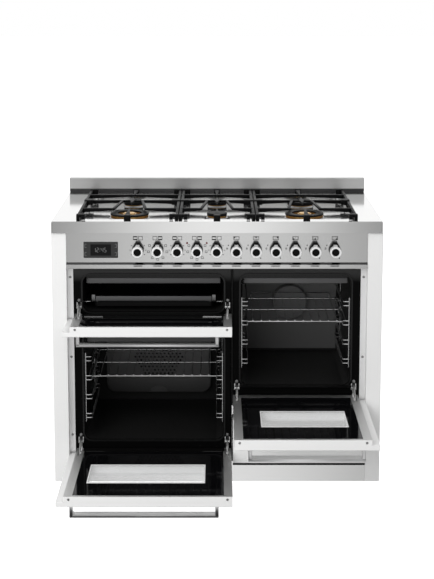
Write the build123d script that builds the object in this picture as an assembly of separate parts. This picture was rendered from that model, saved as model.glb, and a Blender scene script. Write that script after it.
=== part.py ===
from build123d import *
import math
import os

# A free-standing range cooker, 110 cm wide, with six gas burners and three ovens.
# It is modelled with its three drop-down doors open. Sizes are in millimetres:
# X runs to the right, Y to the back, Z up from the floor. A "depth" is measured
# backwards from the hob's front edge.

# Carcass
WIDTH = 1100.0  # over the hob and the side panels
SIDE_PANEL_WIDTH = 50.0  # hob side to the carcass
WORKTOP = 900.0  # floor to hob rim
DEPTH = 640.0  # hob front edge to the rearmost face
SHEET = 1.5  # body sheet steel
CLEAR = 0.3  # running clearance between moving pieces
SMALL_SIDES = 8  # small round pieces are prisms, which keeps the model light
LARGE_SIDES = 20
FOOT_HEIGHT = 70.0
FOOT_RADIUS = 20.0
FOOT_PAD = 10.0
STEM_RADIUS = 8.0
FOOT_INSET = 60.0
FLANGE_WIDTH = 19.0  # white front flange down each side of the carcass
REAR_INSET = 20.0  # rear cover in front of the rearmost face
VENT_LENGTH = 120.0  # rear cover louvres
VENT_HEIGHT = 6.0
VENT_PITCH = 22.0
VENT_ROWS = 6
SIDE_PANEL_SETBACK = 8.0
SIDE_PANEL_LIP = 60.0  # fold that lies against the carcass
SIDE_PANEL_FLOOR = 4.0
KICK_FACE = 6.0
KICK_FLOOR = 5.0
KICK_TOP = 76.0

# Front, from the hob rim downwards
HOB_LIP = 38.0
PANEL_HEIGHT = 102.0
VENT_GAP = 6.0
TRIM_HEIGHT = 14.0
DOOR_GAP = 7.0
UPPER_DOOR = 176.0  # height of the upper left door
STACK_GAP = 26.0  # between the two left doors, so that the lower one swings clear of the upper handle
LOWER_DOOR = 442.0
RIGHT_DOOR = 457.0
SPLIT_X = 51.0  # middle of the gap between the two columns
COLUMN_GAP = 5.0
PANEL_FACE = 12.0  # depths of the front faces
TRIM_FACE = 6.0
FRAME_FACE = 40.0
FRAME_SHEET = 2.0
FRAME_RETURN = 10.0
FRAME_EDGE = 4.0  # rounding of the front frames' edges
FRAME_FLOOR = 84.0

# Doors
SKIN = 16.0  # depth of the outer skin
DOOR = 34.0  # whole door
STRIP = 25.0  # skin beyond the inner frame, over the white flange
RAIL = 27.0
TOP_RAIL = 12.0
BOTTOM_RAIL = 30.0
LEDGE = 8.0  # rebate that carries the glass
GLASS = 4.0
GLASS_PLAY = 0.2
WINDOW_LAP = 12.0  # outer pane beyond the window
SKIN_EDGE = 3.0
PIVOT_DEPTH = 20.0
PIVOT_RISE = 10.0
HANDLE_STAND = 35.0
HANDLE_BAR = 8.0
HANDLE_WIDTH = 16.0
HANDLE_POST = 13.0
HANDLE_DROP = 27.0  # door top to the middle of the handle
HANDLE_INSET = 43.0  # door side to the handle's end
HANDLE_EDGE = 2.5

# Hinges
PIN_RADIUS = 4.0
PIN_PLAY = 0.06
ARM_THICK = 5.0
ARM_HEIGHT = 10.0
ARM_PLAY = 0.4
CHEEK = 3.1
EYE_RADIUS = 8.0
STRAP_LENGTH = 62.0
STRAP_WIDTH = 12.0
STAY_RADIUS = 46.0
STAY_WIDTH = 8.0
STAY_THICK = 3.0
STAY_SWEEP = 121.0
ARM_FOOT_WIDTH = 20.0
ARM_FOOT_DROP = 12.0
ARM_FOOT_RISE = 30.0
SLOT_MARGIN = 3.0

# Ovens
MOUTH_DROP = 22.0  # door top to the top of the oven's mouth
MOUTH_CORNER = 26.0
UPPER_MOUTH = 124.0
LOWER_MOUTH = 367.0
RIGHT_MOUTH = 378.0
GRILL_DEPTH = 390.0
MAIN_DEPTH = 438.0
RIGHT_DEPTH = 428.0
GASKET_INNER = 1.5
GASKET_WIDTH = 5.0
GASKET_THICK = 5.5
SHELF_FIRST = 69.0  # cavity floor to the first shelf
SHELF_PITCH = 66.5
SHELF_COUNT = 4
SHELF_USED = 2  # the rack lies on the third shelf
RUNG_SPACE = 14.0
RUNG = 2.5  # half width of the ladder wires
LADDER_FRONT = 60.0
LADDER_LENGTH = 340.0
RACK_SIDE = 3.0  # half width of the rack's outer bars
RACK_WIRE = 2.2
RACK_PITCH = 24.7
RACK_FRONT = 82.0
RACK_LENGTH = 340.0
RACK_RAISE = 22.0
TRAY_RIM = 1.7
TRAY_RIM_WIDTH = 25.0
TRAY_HEIGHT = 19.0
TRAY_FRONT = 62.0
TRAY_LENGTH = 330.0
TRAY_CORNER = 14.0
TRAY_FLOOR_GAP = 13.0
TRAY_LEDGE = 3.0
TRAY_SIDE = 10.0  # rim to the oven wall
ELEMENT_RADIUS = 3.5
ELEMENT_PITCH = 76.0
ELEMENT_RUNS = 6
ELEMENT_DROP = 14.0
ELEMENT_FRONT = 110.0
ELEMENT_TURN = 360.0

# Fans
FAN_RISE = 190.0  # oven floor to the fan's axis
SHAFT_RADIUS = 4.0
SHAFT_PLAY = 0.05
COVER_DEPTH = 40.0
MAIN_COVER_WIDTH = 382.0
MAIN_COVER_HEIGHT = 300.0
MAIN_COVER_CORNER = 35.0
NOTCH_RADIUS = 50.0
NOTCH_RISE = 13.0
MAIN_HOLES_RADIUS = 86.0
RIGHT_COVER_RADIUS = 62.0
RIGHT_HOLES_RADIUS = 44.0
HOLE_RADIUS = 6.0
HOLE_PITCH = 25.0
MAIN_FAN_RADIUS = 70.0
RIGHT_FAN_RADIUS = 46.0
RING_GAP = 7.0
FAN_BLADES = 8
BLADE = 1.5
BLADE_DEPTH = 16.0
HUB_RADIUS = 9.0
HUB_LENGTH = 20.0
FAN_BACK_GAP = 8.0
MOTOR_RADIUS = 32.0
MOTOR_LENGTH = 58.0

# Controls
KNOB_Z = 802.0
FIRST_KNOB_SIDE = 238.0  # carcass side to the first knob
LAST_KNOB_SIDE = 110.0
OVEN_KNOBS = 5
GAS_KNOBS = 6
KNOB_RADIUS = 19.5
KNOB_TIP = 29.0  # axis to the pointer's tip
KNOB_TIP_WIDTH = 13.0
KNOB_BODY = 20.0
KNOB_LENGTH = 43.0
KNOB_FACE_RADIUS = 17.5
KNOB_INSET_RADIUS = 11.0
KNOB_INSET = 1.5
KNOB_EDGE = 2.0
KNOB_GAP = 0.8
SHAFT_LENGTH = 28.0
SWITCH_SIZE = 36.0
SWITCH_DEPTH = 34.0
TAP_WIDTH = 26.0
TAP_HEIGHT = 28.0
TAP_DEPTH = 46.0
GAS_RAIL_RADIUS = 9.0
GAS_PIPE_SIDE = 35.0  # carcass side to the gas pipe
INLET_RADIUS = 10.48  # half-inch pipe thread, outside
INLET_LENGTH = 16.0
CLOCK_WIDTH = 114.0
CLOCK_HEIGHT = 54.0
CLOCK_SIDE = 115.0  # carcass side to the clock's middle
CLOCK_Z = 803.0
CLOCK_PROUD = 2.0
CLOCK_BODY = 30.0
CLOCK_INSET = 4.0
LAMP_RADIUS = 3.2
LAMP_STEM = 2.4
LAMP_STEM_LENGTH = 18.0
LAMP_RISE = 24.0
LAMP_AFTER = (2, 3)  # each lamp stands half way to the next knob
TERMINAL_SIDE = 130.0  # carcass side to the box's middle
TERMINAL_Z = 240.0
TERMINAL_WIDTH = 100.0
TERMINAL_HEIGHT = 70.0
TERMINAL_DEPTH = 18.0
GLAND_BORE = 7.0
GLAND_RADIUS = 8.8
GLAND_LENGTH = 16.0

# Hob
HOB_CORNER = 8.0
HOB_EDGE = 3.0
RECESS = 15.0
RECESS_CORNER = 40.0
RECESS_SIDE = 98.0  # hob side to the recess
RECESS_FRONT = 46.0
RECESS_BACK = 535.0
GUARD_HEIGHT = 53.0
GUARD_THICK = 15.0
FRONT_BURNERS = 160.0
REAR_BURNERS = 400.0
WOK_RADIUS = 65.5
RAPID_RADIUS = 46.0
SEMI_RADIUS = 34.0
CUP_DROP = 25.0
CUP_SHARE = 0.8  # cup body against cap radius
CUP_FLANGE = 3.0
FLAME_RING = 9.0
CAP = 6.0
CAP_EDGE = 2.0
CROWN_RADIUS = 24.0
CROWN_BORE = 12.0
WOK_BORE = 41.0
PORT_COUNT = 8
PORT_WIDTH = 4.0
PORT_HEIGHT = 5.0
SPARK_RADIUS = 2.5
SPARK_HEIGHT = 16.0
SPARK_GAP = 6.0

# Pan supports
GRATE_SIDE = 84.0  # hob side to the outer supports
MIDDLE_GRATE = 254.0
GRATE_GAP = 2.0
GRATE_FRONT = 20.0
GRATE_BACK = 567.0
GRATE_TOP = 18.0  # above the hob rim
GRATE_BAR = 9.0
GRATE_DEEP = 14.0
GRATE_SLIM = 7.0
GRATE_FOOT = 17.0
GRATE_FOOT_LENGTH = 22.0
GRATE_FOOT_PROUD = 2.5
SPINE_WIDE = 8.0
SPINE_SLIM = 2.5
FINGER_END = 50.0
DIAGONAL_END = 38.0

# Drawer
DRAWER_FLOOR = 83.0
DRAWER_HANDLE_GAP = 5.0
DRAWER_SHEET = 1.2
DRAWER_SIDE_GAP = 15.0
DRAWER_FLANGE_GAP = 10.0
DRAWER_BOX_FLOOR = 95.0
DRAWER_BOX_HEIGHT = 105.0
DRAWER_LENGTH = 520.0
RUNNER_Z = 130.0
RUNNER_THICK = 2.0
RUNNER_FRONT = 60.0
RUNNER_LENGTH = 500.0

HALF = WIDTH / 2
BODY = HALF - SIDE_PANEL_WIDTH
FRAME_BACK = FRAME_FACE + FRAME_SHEET
REAR = DEPTH - REAR_INSET  # outer face of the rear cover
LIP_Z = WORKTOP - HOB_LIP
PANEL_Z = LIP_Z - PANEL_HEIGHT
TRIM_TOP = PANEL_Z - VENT_GAP
TRIM_Z = TRIM_TOP - TRIM_HEIGHT
DOOR_TOP = TRIM_Z - DOOR_GAP
FLOOR_Z = WORKTOP - RECESS
LEAF_HALF = ARM_THICK / 2 + ARM_PLAY + CHEEK
GAS_PIPE_X = BODY - GAS_PIPE_SIDE
CLOCK_X = CLOCK_SIDE - BODY
TERMINAL_X = TERMINAL_SIDE - BODY
FIRST_KNOB_X = FIRST_KNOB_SIDE - BODY
LAST_KNOB_X = BODY - LAST_KNOB_SIDE
KNOB_PITCH = (LAST_KNOB_X - FIRST_KNOB_X) / (OVEN_KNOBS + GAS_KNOBS - 1)
SIDE_GRATE = HALF - GRATE_SIDE - GRATE_GAP - MIDDLE_GRATE / 2
BURNER_X = MIDDLE_GRATE / 2 + GRATE_GAP + SIDE_GRATE / 2
DOOR_REACH = max(UPPER_DOOR, LOWER_DOOR, RIGHT_DOOR) - PIVOT_RISE - PIVOT_DEPTH
FRONT_Y = (DOOR_REACH - DEPTH) / 2  # centres the whole depth, open doors included


def at(depth):
    """Y of a depth behind the hob's front edge."""
    return FRONT_Y + depth


def point(x, depth, z):
    return Vector(x, at(depth), z)


def box(x, depth, z):
    """A block between pairs of X, depth and Z."""
    middle = point((x[0] + x[1]) / 2, (depth[0] + depth[1]) / 2, (z[0] + z[1]) / 2)
    return Pos(*middle) * Box(x[1] - x[0], depth[1] - depth[0], z[1] - z[0])


def plate(x, depth, z, corner):
    """An upright slab with rounded corners, facing the front."""
    middle = point((x[0] + x[1]) / 2, depth[1], (z[0] + z[1]) / 2)
    outline = RectangleRounded(x[1] - x[0], z[1] - z[0], corner)
    face = Plane(middle, x_dir=(1, 0, 0), z_dir=(0, -1, 0)) * outline
    return extrude(face, amount=depth[1] - depth[0])


def tile(x, depth, z, corner):
    """A level slab with rounded corners."""
    middle = point((x[0] + x[1]) / 2, (depth[0] + depth[1]) / 2, z[0])
    face = Plane(middle) * RectangleRounded(x[1] - x[0], depth[1] - depth[0], corner)
    return extrude(face, amount=z[1] - z[0])


def along(start, end):
    """The plane across a run between two points given as (X, depth, Z), and the run's length."""
    first = point(*start)
    run = point(*end) - first
    across = (0, 1, 0) if abs(run.X) > abs(run.Y) else (1, 0, 0)
    return Plane(first, x_dir=across, z_dir=run), run.length


def rod(start, end, radius, sides=SMALL_SIDES):
    """A round bar as a prism inside its circle."""
    plane, length = along(start, end)
    return extrude(plane * RegularPolygon(radius, sides), amount=length)


def bore(start, end, radius, sides=SMALL_SIDES):
    """A round hole as a prism outside its circle, so that a bar of that radius turns in it."""
    plane, length = along(start, end)
    return extrude(plane * RegularPolygon(radius, sides, major_radius=False), amount=length)


def true_rod(start, end, radius):
    """A round bar with a true cylinder, for the surfaces that other products fit."""
    plane, length = along(start, end)
    return extrude(plane * Circle(radius), amount=length)


def wire(start, end, half_width):
    """A slim square bar along X, depth or Z."""
    pairs = []
    for a, b in zip(start, end):
        pairs.append((min(a, b), max(a, b)) if a != b else (a - half_width, a + half_width))
    return box(*pairs)


def disc(x, depth, z, radius, sides=LARGE_SIDES):
    """An upright round slab as a prism."""
    return rod((x, depth, z[0]), (x, depth, z[1]), radius, sides)


def ring(x, depth, z, outer, inner):
    return disc(x, depth, z, outer) - disc(x, depth, (z[0] - 1, z[1] + 1), inner)


def fuse(shapes):
    return Part() + list(shapes)


def group(shapes):
    """Separate solids that share one node."""
    return Compound([solid for shape in shapes for solid in shape.solids()])


def grown(pair, by):
    return (pair[0] - by, pair[1] + by)


def hexagon_places(radius, pitch):
    """Places of a hexagonal pattern inside a circle."""
    row_pitch = pitch * math.sqrt(3) / 2
    rows = int(radius / row_pitch)
    places = []
    for row in range(-rows, rows + 1):
        shift = pitch / 2 if row % 2 else 0.0
        columns = int(radius / pitch) + 1
        for column in range(-columns, columns + 1):
            place = (column * pitch + shift, row * row_pitch)
            if math.hypot(*place) <= radius:
                places.append(place)
    return places


class Door:
    """A drop-down oven door as it stands when shut, with its oven's mouth and its hinges."""

    def __init__(self, left, right, bottom, top, strip, mouth, cavity, window):
        self.left = left
        self.right = right
        self.bottom = bottom
        self.top = top
        self.frame_left = left + STRIP if strip == "left" else left
        self.frame_right = right - STRIP if strip == "right" else right
        self.mouth_x = (self.frame_left + RAIL, self.frame_right - RAIL)
        self.mouth_z = (top - MOUTH_DROP - mouth, top - MOUTH_DROP)
        self.middle_x = sum(self.mouth_x) / 2
        self.fan_z = self.mouth_z[0] + FAN_RISE
        self.rear = FRAME_BACK + cavity
        self.window = window
        self.pivot_z = bottom + PIVOT_RISE
        self.hinges = (self.frame_left + RAIL / 2, self.frame_right - RAIL / 2)

    def opened(self, shape):
        axis = Axis(point(0, PIVOT_DEPTH, self.pivot_z), (1, 0, 0))
        return shape.rotate(axis, 90)

    def window_box(self, depth, lap):
        """The window as a block through the given depths, grown by a lap on each side."""
        width, height, drop = self.window
        middle = (self.left + self.right) / 2
        x = (middle - width / 2, middle + width / 2)
        z = (self.top - drop - height, self.top - drop)
        return box(grown(x, lap), depth, grown(z, lap))


LEFT_EDGE = SPLIT_X - COLUMN_GAP / 2
RIGHT_EDGE = SPLIT_X + COLUMN_GAP / 2
UPPER_BOTTOM = DOOR_TOP - UPPER_DOOR
LOWER_TOP = UPPER_BOTTOM - STACK_GAP
LOWER_BOTTOM = LOWER_TOP - LOWER_DOOR
RIGHT_BOTTOM = DOOR_TOP - RIGHT_DOOR
LEFT_WINDOW = (376.0, 168.0, 115.0)
RIGHT_WINDOW = (275.0, 160.0, 122.0)
UPPER = Door(-BODY, LEFT_EDGE, UPPER_BOTTOM, DOOR_TOP, "left", UPPER_MOUTH, GRILL_DEPTH, None)
LOWER = Door(-BODY, LEFT_EDGE, LOWER_BOTTOM, LOWER_TOP, "left", LOWER_MOUTH, MAIN_DEPTH, LEFT_WINDOW)
RIGHT = Door(RIGHT_EDGE, BODY, RIGHT_BOTTOM, DOOR_TOP, "right", RIGHT_MOUTH, RIGHT_DEPTH, RIGHT_WINDOW)
DOORS = {"upper": UPPER, "lower": LOWER, "right": RIGHT}

DRAWER_TOP = RIGHT.pivot_z - PIVOT_DEPTH - HANDLE_STAND - DRAWER_HANDLE_GAP
CROSS_RAIL_Z = (DRAWER_TOP + 3.0, RIGHT_BOTTOM - 16.0)
DRAWER_X = (SPLIT_X + DRAWER_SIDE_GAP, BODY - FLANGE_WIDTH - DRAWER_FLANGE_GAP)
KNOB_X = [FIRST_KNOB_X + KNOB_PITCH * i for i in range(OVEN_KNOBS + GAS_KNOBS)]
OVEN_X = KNOB_X[:OVEN_KNOBS]
GAS_X = KNOB_X[OVEN_KNOBS:]
BURNERS = [
    (-BURNER_X, FRONT_BURNERS, WOK_RADIUS),
    (-BURNER_X, REAR_BURNERS, SEMI_RADIUS),
    (0.0, FRONT_BURNERS, SEMI_RADIUS),
    (0.0, REAR_BURNERS, SEMI_RADIUS),
    (BURNER_X, FRONT_BURNERS, WOK_RADIUS),
    (BURNER_X, REAR_BURNERS, RAPID_RADIUS),
]


def chassis():
    back = REAR - SHEET
    base = box((-BODY, BODY), (FRAME_FACE, back), (FOOT_HEIGHT, FOOT_HEIGHT + SHEET))
    pieces = [base]
    for side in (-1, 1):
        wall = sorted((side * (BODY - SHEET), side * BODY))
        strip = sorted((side * (BODY - FLANGE_WIDTH), side * BODY))
        pieces.append(box(wall, (FRAME_FACE, back), (FOOT_HEIGHT, WORKTOP - SHEET)))
        pieces.append(box(strip, (FRAME_FACE, FRAME_FACE + SHEET), (FOOT_HEIGHT, TRIM_TOP)))
    partition = (SPLIT_X - SHEET / 2, SPLIT_X + SHEET / 2)
    partition_front = FRAME_BACK + FRAME_RETURN
    pieces.append(box(partition, (partition_front, back), (FOOT_HEIGHT, TRIM_TOP)))
    across = (partition[0], BODY - FLANGE_WIDTH)
    low, high = CROSS_RAIL_Z
    pieces.append(box(across, (FRAME_FACE, FRAME_FACE + SHEET), (low, high)))
    pieces.append(box(across, (FRAME_FACE, partition_front + SHEET), (low, low + SHEET)))
    return fuse(pieces)


def levelling_feet():
    feet = []
    for x in (-BODY + FOOT_INSET, BODY - FOOT_INSET):
        for depth in (FRAME_FACE + FOOT_INSET, REAR - FOOT_INSET):
            pad = disc(x, depth, (0, FOOT_PAD), FOOT_RADIUS)
            feet.append(pad + disc(x, depth, (0, FOOT_HEIGHT), STEM_RADIUS, SMALL_SIDES))
    return group(feet)


def side_panels():
    panels = []
    depth = (SIDE_PANEL_SETBACK, DEPTH)
    z = (SIDE_PANEL_FLOOR, LIP_Z)
    for side in (-1, 1):
        outer = box(sorted((side * BODY, side * HALF)), depth, z)
        edge = outer.edges().filter_by(Axis.Z).group_by(Axis.X)[-1 if side > 0 else 0]
        outer = fillet(edge, HOB_EDGE)
        inside = sorted((side * (BODY + SHEET), side * (HALF - SHEET)))
        mouth = sorted((side * (BODY - SHEET), side * (BODY + 2 * SHEET)))
        hollow = box(inside, grown(depth, -SHEET), grown(z, SHEET))
        slot = box(mouth, grown(depth, -SIDE_PANEL_LIP), grown(z, SHEET))
        panels.append(outer - hollow - slot)
    return group(panels)


def rear_cover():
    cover = box((-BODY, BODY), (REAR - SHEET, REAR), (FOOT_HEIGHT, WORKTOP - SHEET))
    holes = [bore((GAS_PIPE_X, REAR - 2 * SHEET, KNOB_Z), (GAS_PIPE_X, DEPTH, KNOB_Z), INLET_RADIUS + 1)]
    for x in (UPPER.middle_x, RIGHT.middle_x):
        for row in range(VENT_ROWS):
            z = LIP_Z - HOB_LIP - VENT_PITCH * row
            across = (x - VENT_LENGTH / 2, x + VENT_LENGTH / 2)
            holes.append(box(across, (REAR - 2 * SHEET, REAR + SHEET), (z - VENT_HEIGHT, z)))
    return cover - fuse(holes)


def front_frames():
    """Two pressed black frames, one for each column, with rounded edges and the ovens' mouths."""
    depth = (FRAME_FACE, FRAME_BACK + FRAME_RETURN)
    left_x = (-BODY + FLANGE_WIDTH + CLEAR, LEFT_EDGE)
    right_x = (RIGHT_EDGE, BODY - FLANGE_WIDTH - CLEAR)
    top = TRIM_Z - 2.0
    panels = []
    for x, bottom, doors in ((left_x, FRAME_FLOOR, (UPPER, LOWER)), (right_x, CROSS_RAIL_Z[1], (RIGHT,))):
        z = (bottom, top)
        pan = box(x, depth, z)
        pan = fillet(pan.faces().sort_by(Axis.Y)[0].edges(), FRAME_EDGE)
        cuts = [box(grown(x, -FRAME_SHEET), (FRAME_BACK, depth[1] + 1), grown(z, -FRAME_SHEET))]
        for door in doors:
            cuts.append(plate(door.mouth_x, grown(depth, 1), door.mouth_z, MOUTH_CORNER))
            for hinge in door.hinges:
                half = ARM_THICK / 2 + SLOT_MARGIN / 2
                low = door.pivot_z - EYE_RADIUS - SLOT_MARGIN
                high = door.pivot_z + STAY_RADIUS + STAY_WIDTH / 2 + SLOT_MARGIN
                cuts.append(box((hinge - half, hinge + half), grown(depth, 1), (low, high)))
        panels.append(pan - fuse(cuts))
    return group(panels)


def kick_plate():
    face = box((-BODY, BODY), (KICK_FACE, KICK_FACE + SHEET), (KICK_FLOOR, KICK_TOP))
    shelf = box((-BODY, BODY), (KICK_FACE, FRAME_FACE), (FOOT_HEIGHT, FOOT_HEIGHT + SHEET))
    fold = box((-BODY, BODY), (KICK_FACE, KICK_FACE + FOOT_PAD), (KICK_FLOOR, KICK_FLOOR + SHEET))
    return fuse([face, shelf, fold])


def hob_top():
    """A pressed top with a deep rim, a recessed well and a hole for each burner cup."""
    across = (-HALF, HALF)
    deep = (0, DEPTH)
    shell = tile(across, deep, (LIP_Z, WORKTOP), HOB_CORNER)
    shell = chamfer(shell.faces().sort_by(Axis.Z)[-1].edges(), HOB_EDGE)
    inner_corner = HOB_CORNER - SHEET
    shell -= tile(grown(across, -SHEET), grown(deep, -SHEET), (LIP_Z - 1, WORKTOP - SHEET), inner_corner)
    well_x = (-HALF + RECESS_SIDE, HALF - RECESS_SIDE)
    well = (RECESS_FRONT, RECESS_BACK)
    outside = (FLOOR_Z - SHEET, WORKTOP - SHEET)
    shell += tile(grown(well_x, SHEET), grown(well, SHEET), outside, RECESS_CORNER + SHEET)
    shell -= tile(well_x, well, (FLOOR_Z, WORKTOP + 1), RECESS_CORNER)
    holes = []
    for x, depth, radius in BURNERS:
        holes.append(disc(x, depth, (FLOOR_Z - CUP_DROP, WORKTOP), radius * CUP_SHARE + CLEAR))
    return shell - fuse(holes)


def backguard():
    across = (-HALF, HALF)
    depth = (DEPTH - GUARD_THICK, DEPTH)
    z = (WORKTOP, WORKTOP + GUARD_HEIGHT)
    guard = box(across, depth, z)
    guard = chamfer(guard.faces().sort_by(Axis.Z)[-1].edges(), HOB_EDGE)
    return guard - box(grown(across, -SHEET), grown(depth, -SHEET), (z[0] - 1, z[1] - HOB_EDGE - SHEET))


def folded_front(face, z):
    """A full-width pressed strip with folds that run back to the carcass."""
    across = (-BODY, BODY)
    strip = box(across, (face, FRAME_FACE), z)
    front = strip.faces().sort_by(Axis.Y)[0].edges().filter_by(Axis.X)
    strip = chamfer(front, SHEET / 2)
    return strip - box(grown(across, -SHEET), (face + SHEET, FRAME_FACE + 1), grown(z, -SHEET))


def through_panel(x, z, radius):
    return bore((x, PANEL_FACE - SHEET, z), (x, PANEL_FACE + 2 * SHEET, z), radius)


def control_panel():
    panel = folded_front(PANEL_FACE, (PANEL_Z, LIP_Z))
    holes = [through_panel(x, KNOB_Z, SHAFT_RADIUS + 1) for x in KNOB_X]
    holes += [through_panel(x, KNOB_Z + LAMP_RISE, LAMP_STEM + CLEAR) for x in lamp_places()]
    clock = clock_outline(CLOCK_INSET - CLEAR)
    holes.append(box(clock[0], (PANEL_FACE - SHEET, PANEL_FACE + 2 * SHEET), clock[1]))
    return panel - fuse(holes)


def panel_trim():
    """The strip below the control panel, with one cooling slot under each knob."""
    trim = folded_front(TRIM_FACE, (TRIM_Z, TRIM_TOP))
    slot_z = (TRIM_TOP - VENT_GAP, TRIM_TOP - 2 * SHEET)
    depth = (TRIM_FACE - SHEET, TRIM_FACE + 2 * SHEET)
    slots = [box((x - KNOB_LENGTH / 3, x + KNOB_LENGTH / 3), depth, slot_z) for x in KNOB_X]
    return trim - fuse(slots)


def clock_outline(inset):
    half_width = CLOCK_WIDTH / 2 - inset
    half_height = CLOCK_HEIGHT / 2 - inset
    return (CLOCK_X - half_width, CLOCK_X + half_width), (CLOCK_Z - half_height, CLOCK_Z + half_height)


def clock_module():
    x, z = clock_outline(0)
    glass = plate(x, (PANEL_FACE - CLOCK_PROUD, PANEL_FACE), z, CLOCK_PROUD)
    x, z = clock_outline(CLOCK_INSET)
    return glass + box(x, (PANEL_FACE - SHEET, PANEL_FACE + CLOCK_BODY), z)


def lamp_places():
    return [KNOB_X[i] + KNOB_PITCH / 2 for i in LAMP_AFTER]


def indicator_lamps():
    lamps = []
    for x in lamp_places():
        z = KNOB_Z + LAMP_RISE
        lens = rod((x, PANEL_FACE - CLOCK_PROUD, z), (x, PANEL_FACE, z), LAMP_RADIUS)
        stem = rod((x, PANEL_FACE - SHEET, z), (x, PANEL_FACE + LAMP_STEM_LENGTH, z), LAMP_STEM)
        lamps.append(lens + stem)
    return group(lamps)


def control_body(x, width, height, depth):
    """A switch or tap behind the panel, with the shaft that carries its knob."""
    back = PANEL_FACE + SHEET
    z = (KNOB_Z - height / 2, KNOB_Z + height / 2)
    body = box((x - width / 2, x + width / 2), (back, back + depth), z)
    return body + rod((x, PANEL_FACE - SHAFT_LENGTH, KNOB_Z), (x, back + SHEET, KNOB_Z), SHAFT_RADIUS)


def oven_switches():
    return group(control_body(x, SWITCH_SIZE, SWITCH_SIZE, SWITCH_DEPTH) for x in OVEN_X)


def gas_manifold():
    """Six taps on one rail, with the pipe that runs back to the threaded inlet."""
    rail_depth = PANEL_FACE + SHEET + TAP_DEPTH
    pieces = [control_body(x, TAP_WIDTH, TAP_HEIGHT, TAP_DEPTH) for x in GAS_X]
    rail_start = (GAS_X[0] - TAP_WIDTH, rail_depth, KNOB_Z)
    pieces.append(rod(rail_start, (GAS_PIPE_X, rail_depth, KNOB_Z), GAS_RAIL_RADIUS))
    pipe_start = (GAS_PIPE_X, rail_depth - GAS_RAIL_RADIUS, KNOB_Z)
    pipe_end = (GAS_PIPE_X, REAR, KNOB_Z)
    pieces.append(rod(pipe_start, pipe_end, GAS_RAIL_RADIUS))
    inlet_end = (GAS_PIPE_X, REAR + INLET_LENGTH, KNOB_Z)
    pieces.append(true_rod(pipe_end, inlet_end, INLET_RADIUS))
    return fuse(pieces)


def terminal_box():
    """The mains terminal box on the back, with a cable gland that points down."""
    x = (TERMINAL_X - TERMINAL_WIDTH / 2, TERMINAL_X + TERMINAL_WIDTH / 2)
    z = (TERMINAL_Z - TERMINAL_HEIGHT / 2, TERMINAL_Z + TERMINAL_HEIGHT / 2)
    middle = REAR + TERMINAL_DEPTH / 2
    shell = box(x, (REAR, REAR + TERMINAL_DEPTH), z)
    shell += disc(TERMINAL_X, middle, (z[0] - GLAND_LENGTH, z[0] + 1), GLAND_RADIUS)
    bore_top = (TERMINAL_X, middle, z[0] + SHEET)
    return shell - true_rod((TERMINAL_X, middle, z[0] - GLAND_LENGTH - 1), bore_top, GLAND_BORE)


def knob(x):
    """A pointer knob: a drop-shaped body, a round grip with a shallow dish, and the bore for its shaft."""
    back = PANEL_FACE - KNOB_GAP
    shoulder = back - KNOB_BODY
    front = back - KNOB_LENGTH
    plane = Plane(point(x, back, KNOB_Z), x_dir=(1, 0, 0), z_dir=(0, -1, 0))
    tip = KNOB_TIP_WIDTH / 2
    flank = KNOB_RADIUS * 0.94
    foot = KNOB_RADIUS / 3
    pointer = Polygon((-flank, foot), (flank, foot), (tip, KNOB_TIP), (-tip, KNOB_TIP), align=None)
    body = extrude(plane * (RegularPolygon(KNOB_RADIUS, LARGE_SIDES) + pointer), amount=KNOB_BODY)
    grip = rod((x, shoulder, KNOB_Z), (x, front, KNOB_Z), KNOB_FACE_RADIUS, LARGE_SIDES)
    body += chamfer(grip.faces().sort_by(Axis.Y)[0].edges(), KNOB_EDGE)
    body -= rod((x, front - 1, KNOB_Z), (x, front + KNOB_INSET, KNOB_Z), KNOB_INSET_RADIUS, LARGE_SIDES)
    bore_end = PANEL_FACE - SHAFT_LENGTH - CLEAR
    return body - bore((x, PANEL_FACE, KNOB_Z), (x, bore_end, KNOB_Z), SHAFT_RADIUS + SHAFT_PLAY)


def burner_cups():
    cups = []
    for x, depth, radius in BURNERS:
        body = disc(x, depth, (FLOOR_Z - CUP_DROP, FLOOR_Z), radius * CUP_SHARE)
        cups.append(body + disc(x, depth, (FLOOR_Z, FLOOR_Z + CUP_FLANGE), radius + CUP_FLANGE))
    return group(cups)


def burner_rings():
    """Brass flame rings with radial ports; a wok burner also has an inner crown."""
    rings = []
    low = FLOOR_Z + CUP_FLANGE
    high = low + FLAME_RING
    for x, depth, radius in BURNERS:
        wok = radius == WOK_RADIUS
        inner = WOK_BORE if wok else radius / 2
        flame = ring(x, depth, (low, high), radius - CAP_EDGE, inner)
        ports = []
        for i in range(PORT_COUNT // 2):
            slot = Box(2 * radius + PORT_WIDTH, PORT_WIDTH, PORT_HEIGHT)
            turn = Rot(0, 0, 360 * i / PORT_COUNT)
            ports.append(Pos(x, at(depth), high) * turn * slot)
        rings.append(flame - fuse(ports))
        if wok:
            rings.append(ring(x, depth, (low, high), CROWN_RADIUS, CROWN_BORE))
    return group(rings)


def burner_caps():
    caps = []
    low = FLOOR_Z + CUP_FLANGE + FLAME_RING
    for x, depth, radius in BURNERS:
        cap = disc(x, depth, (low, low + CAP), radius)
        cap = chamfer(cap.faces().sort_by(Axis.Z)[-1].edges(), CAP_EDGE)
        if radius == WOK_RADIUS:
            cap -= disc(x, depth, (low - 1, low + CAP + 1), WOK_BORE)
            caps.append(disc(x, depth, (low, low + CAP / 2), CROWN_RADIUS - CAP_EDGE))
        caps.append(cap)
    return group(caps)


def spark_electrodes():
    pins = []
    for x, depth, radius in BURNERS:
        reach = (radius + CUP_FLANGE + SPARK_GAP) / math.sqrt(2)
        z = (FLOOR_Z, FLOOR_Z + SPARK_HEIGHT)
        pins.append(disc(x + reach, depth + reach, z, SPARK_RADIUS, SMALL_SIDES))
    return group(pins)


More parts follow.
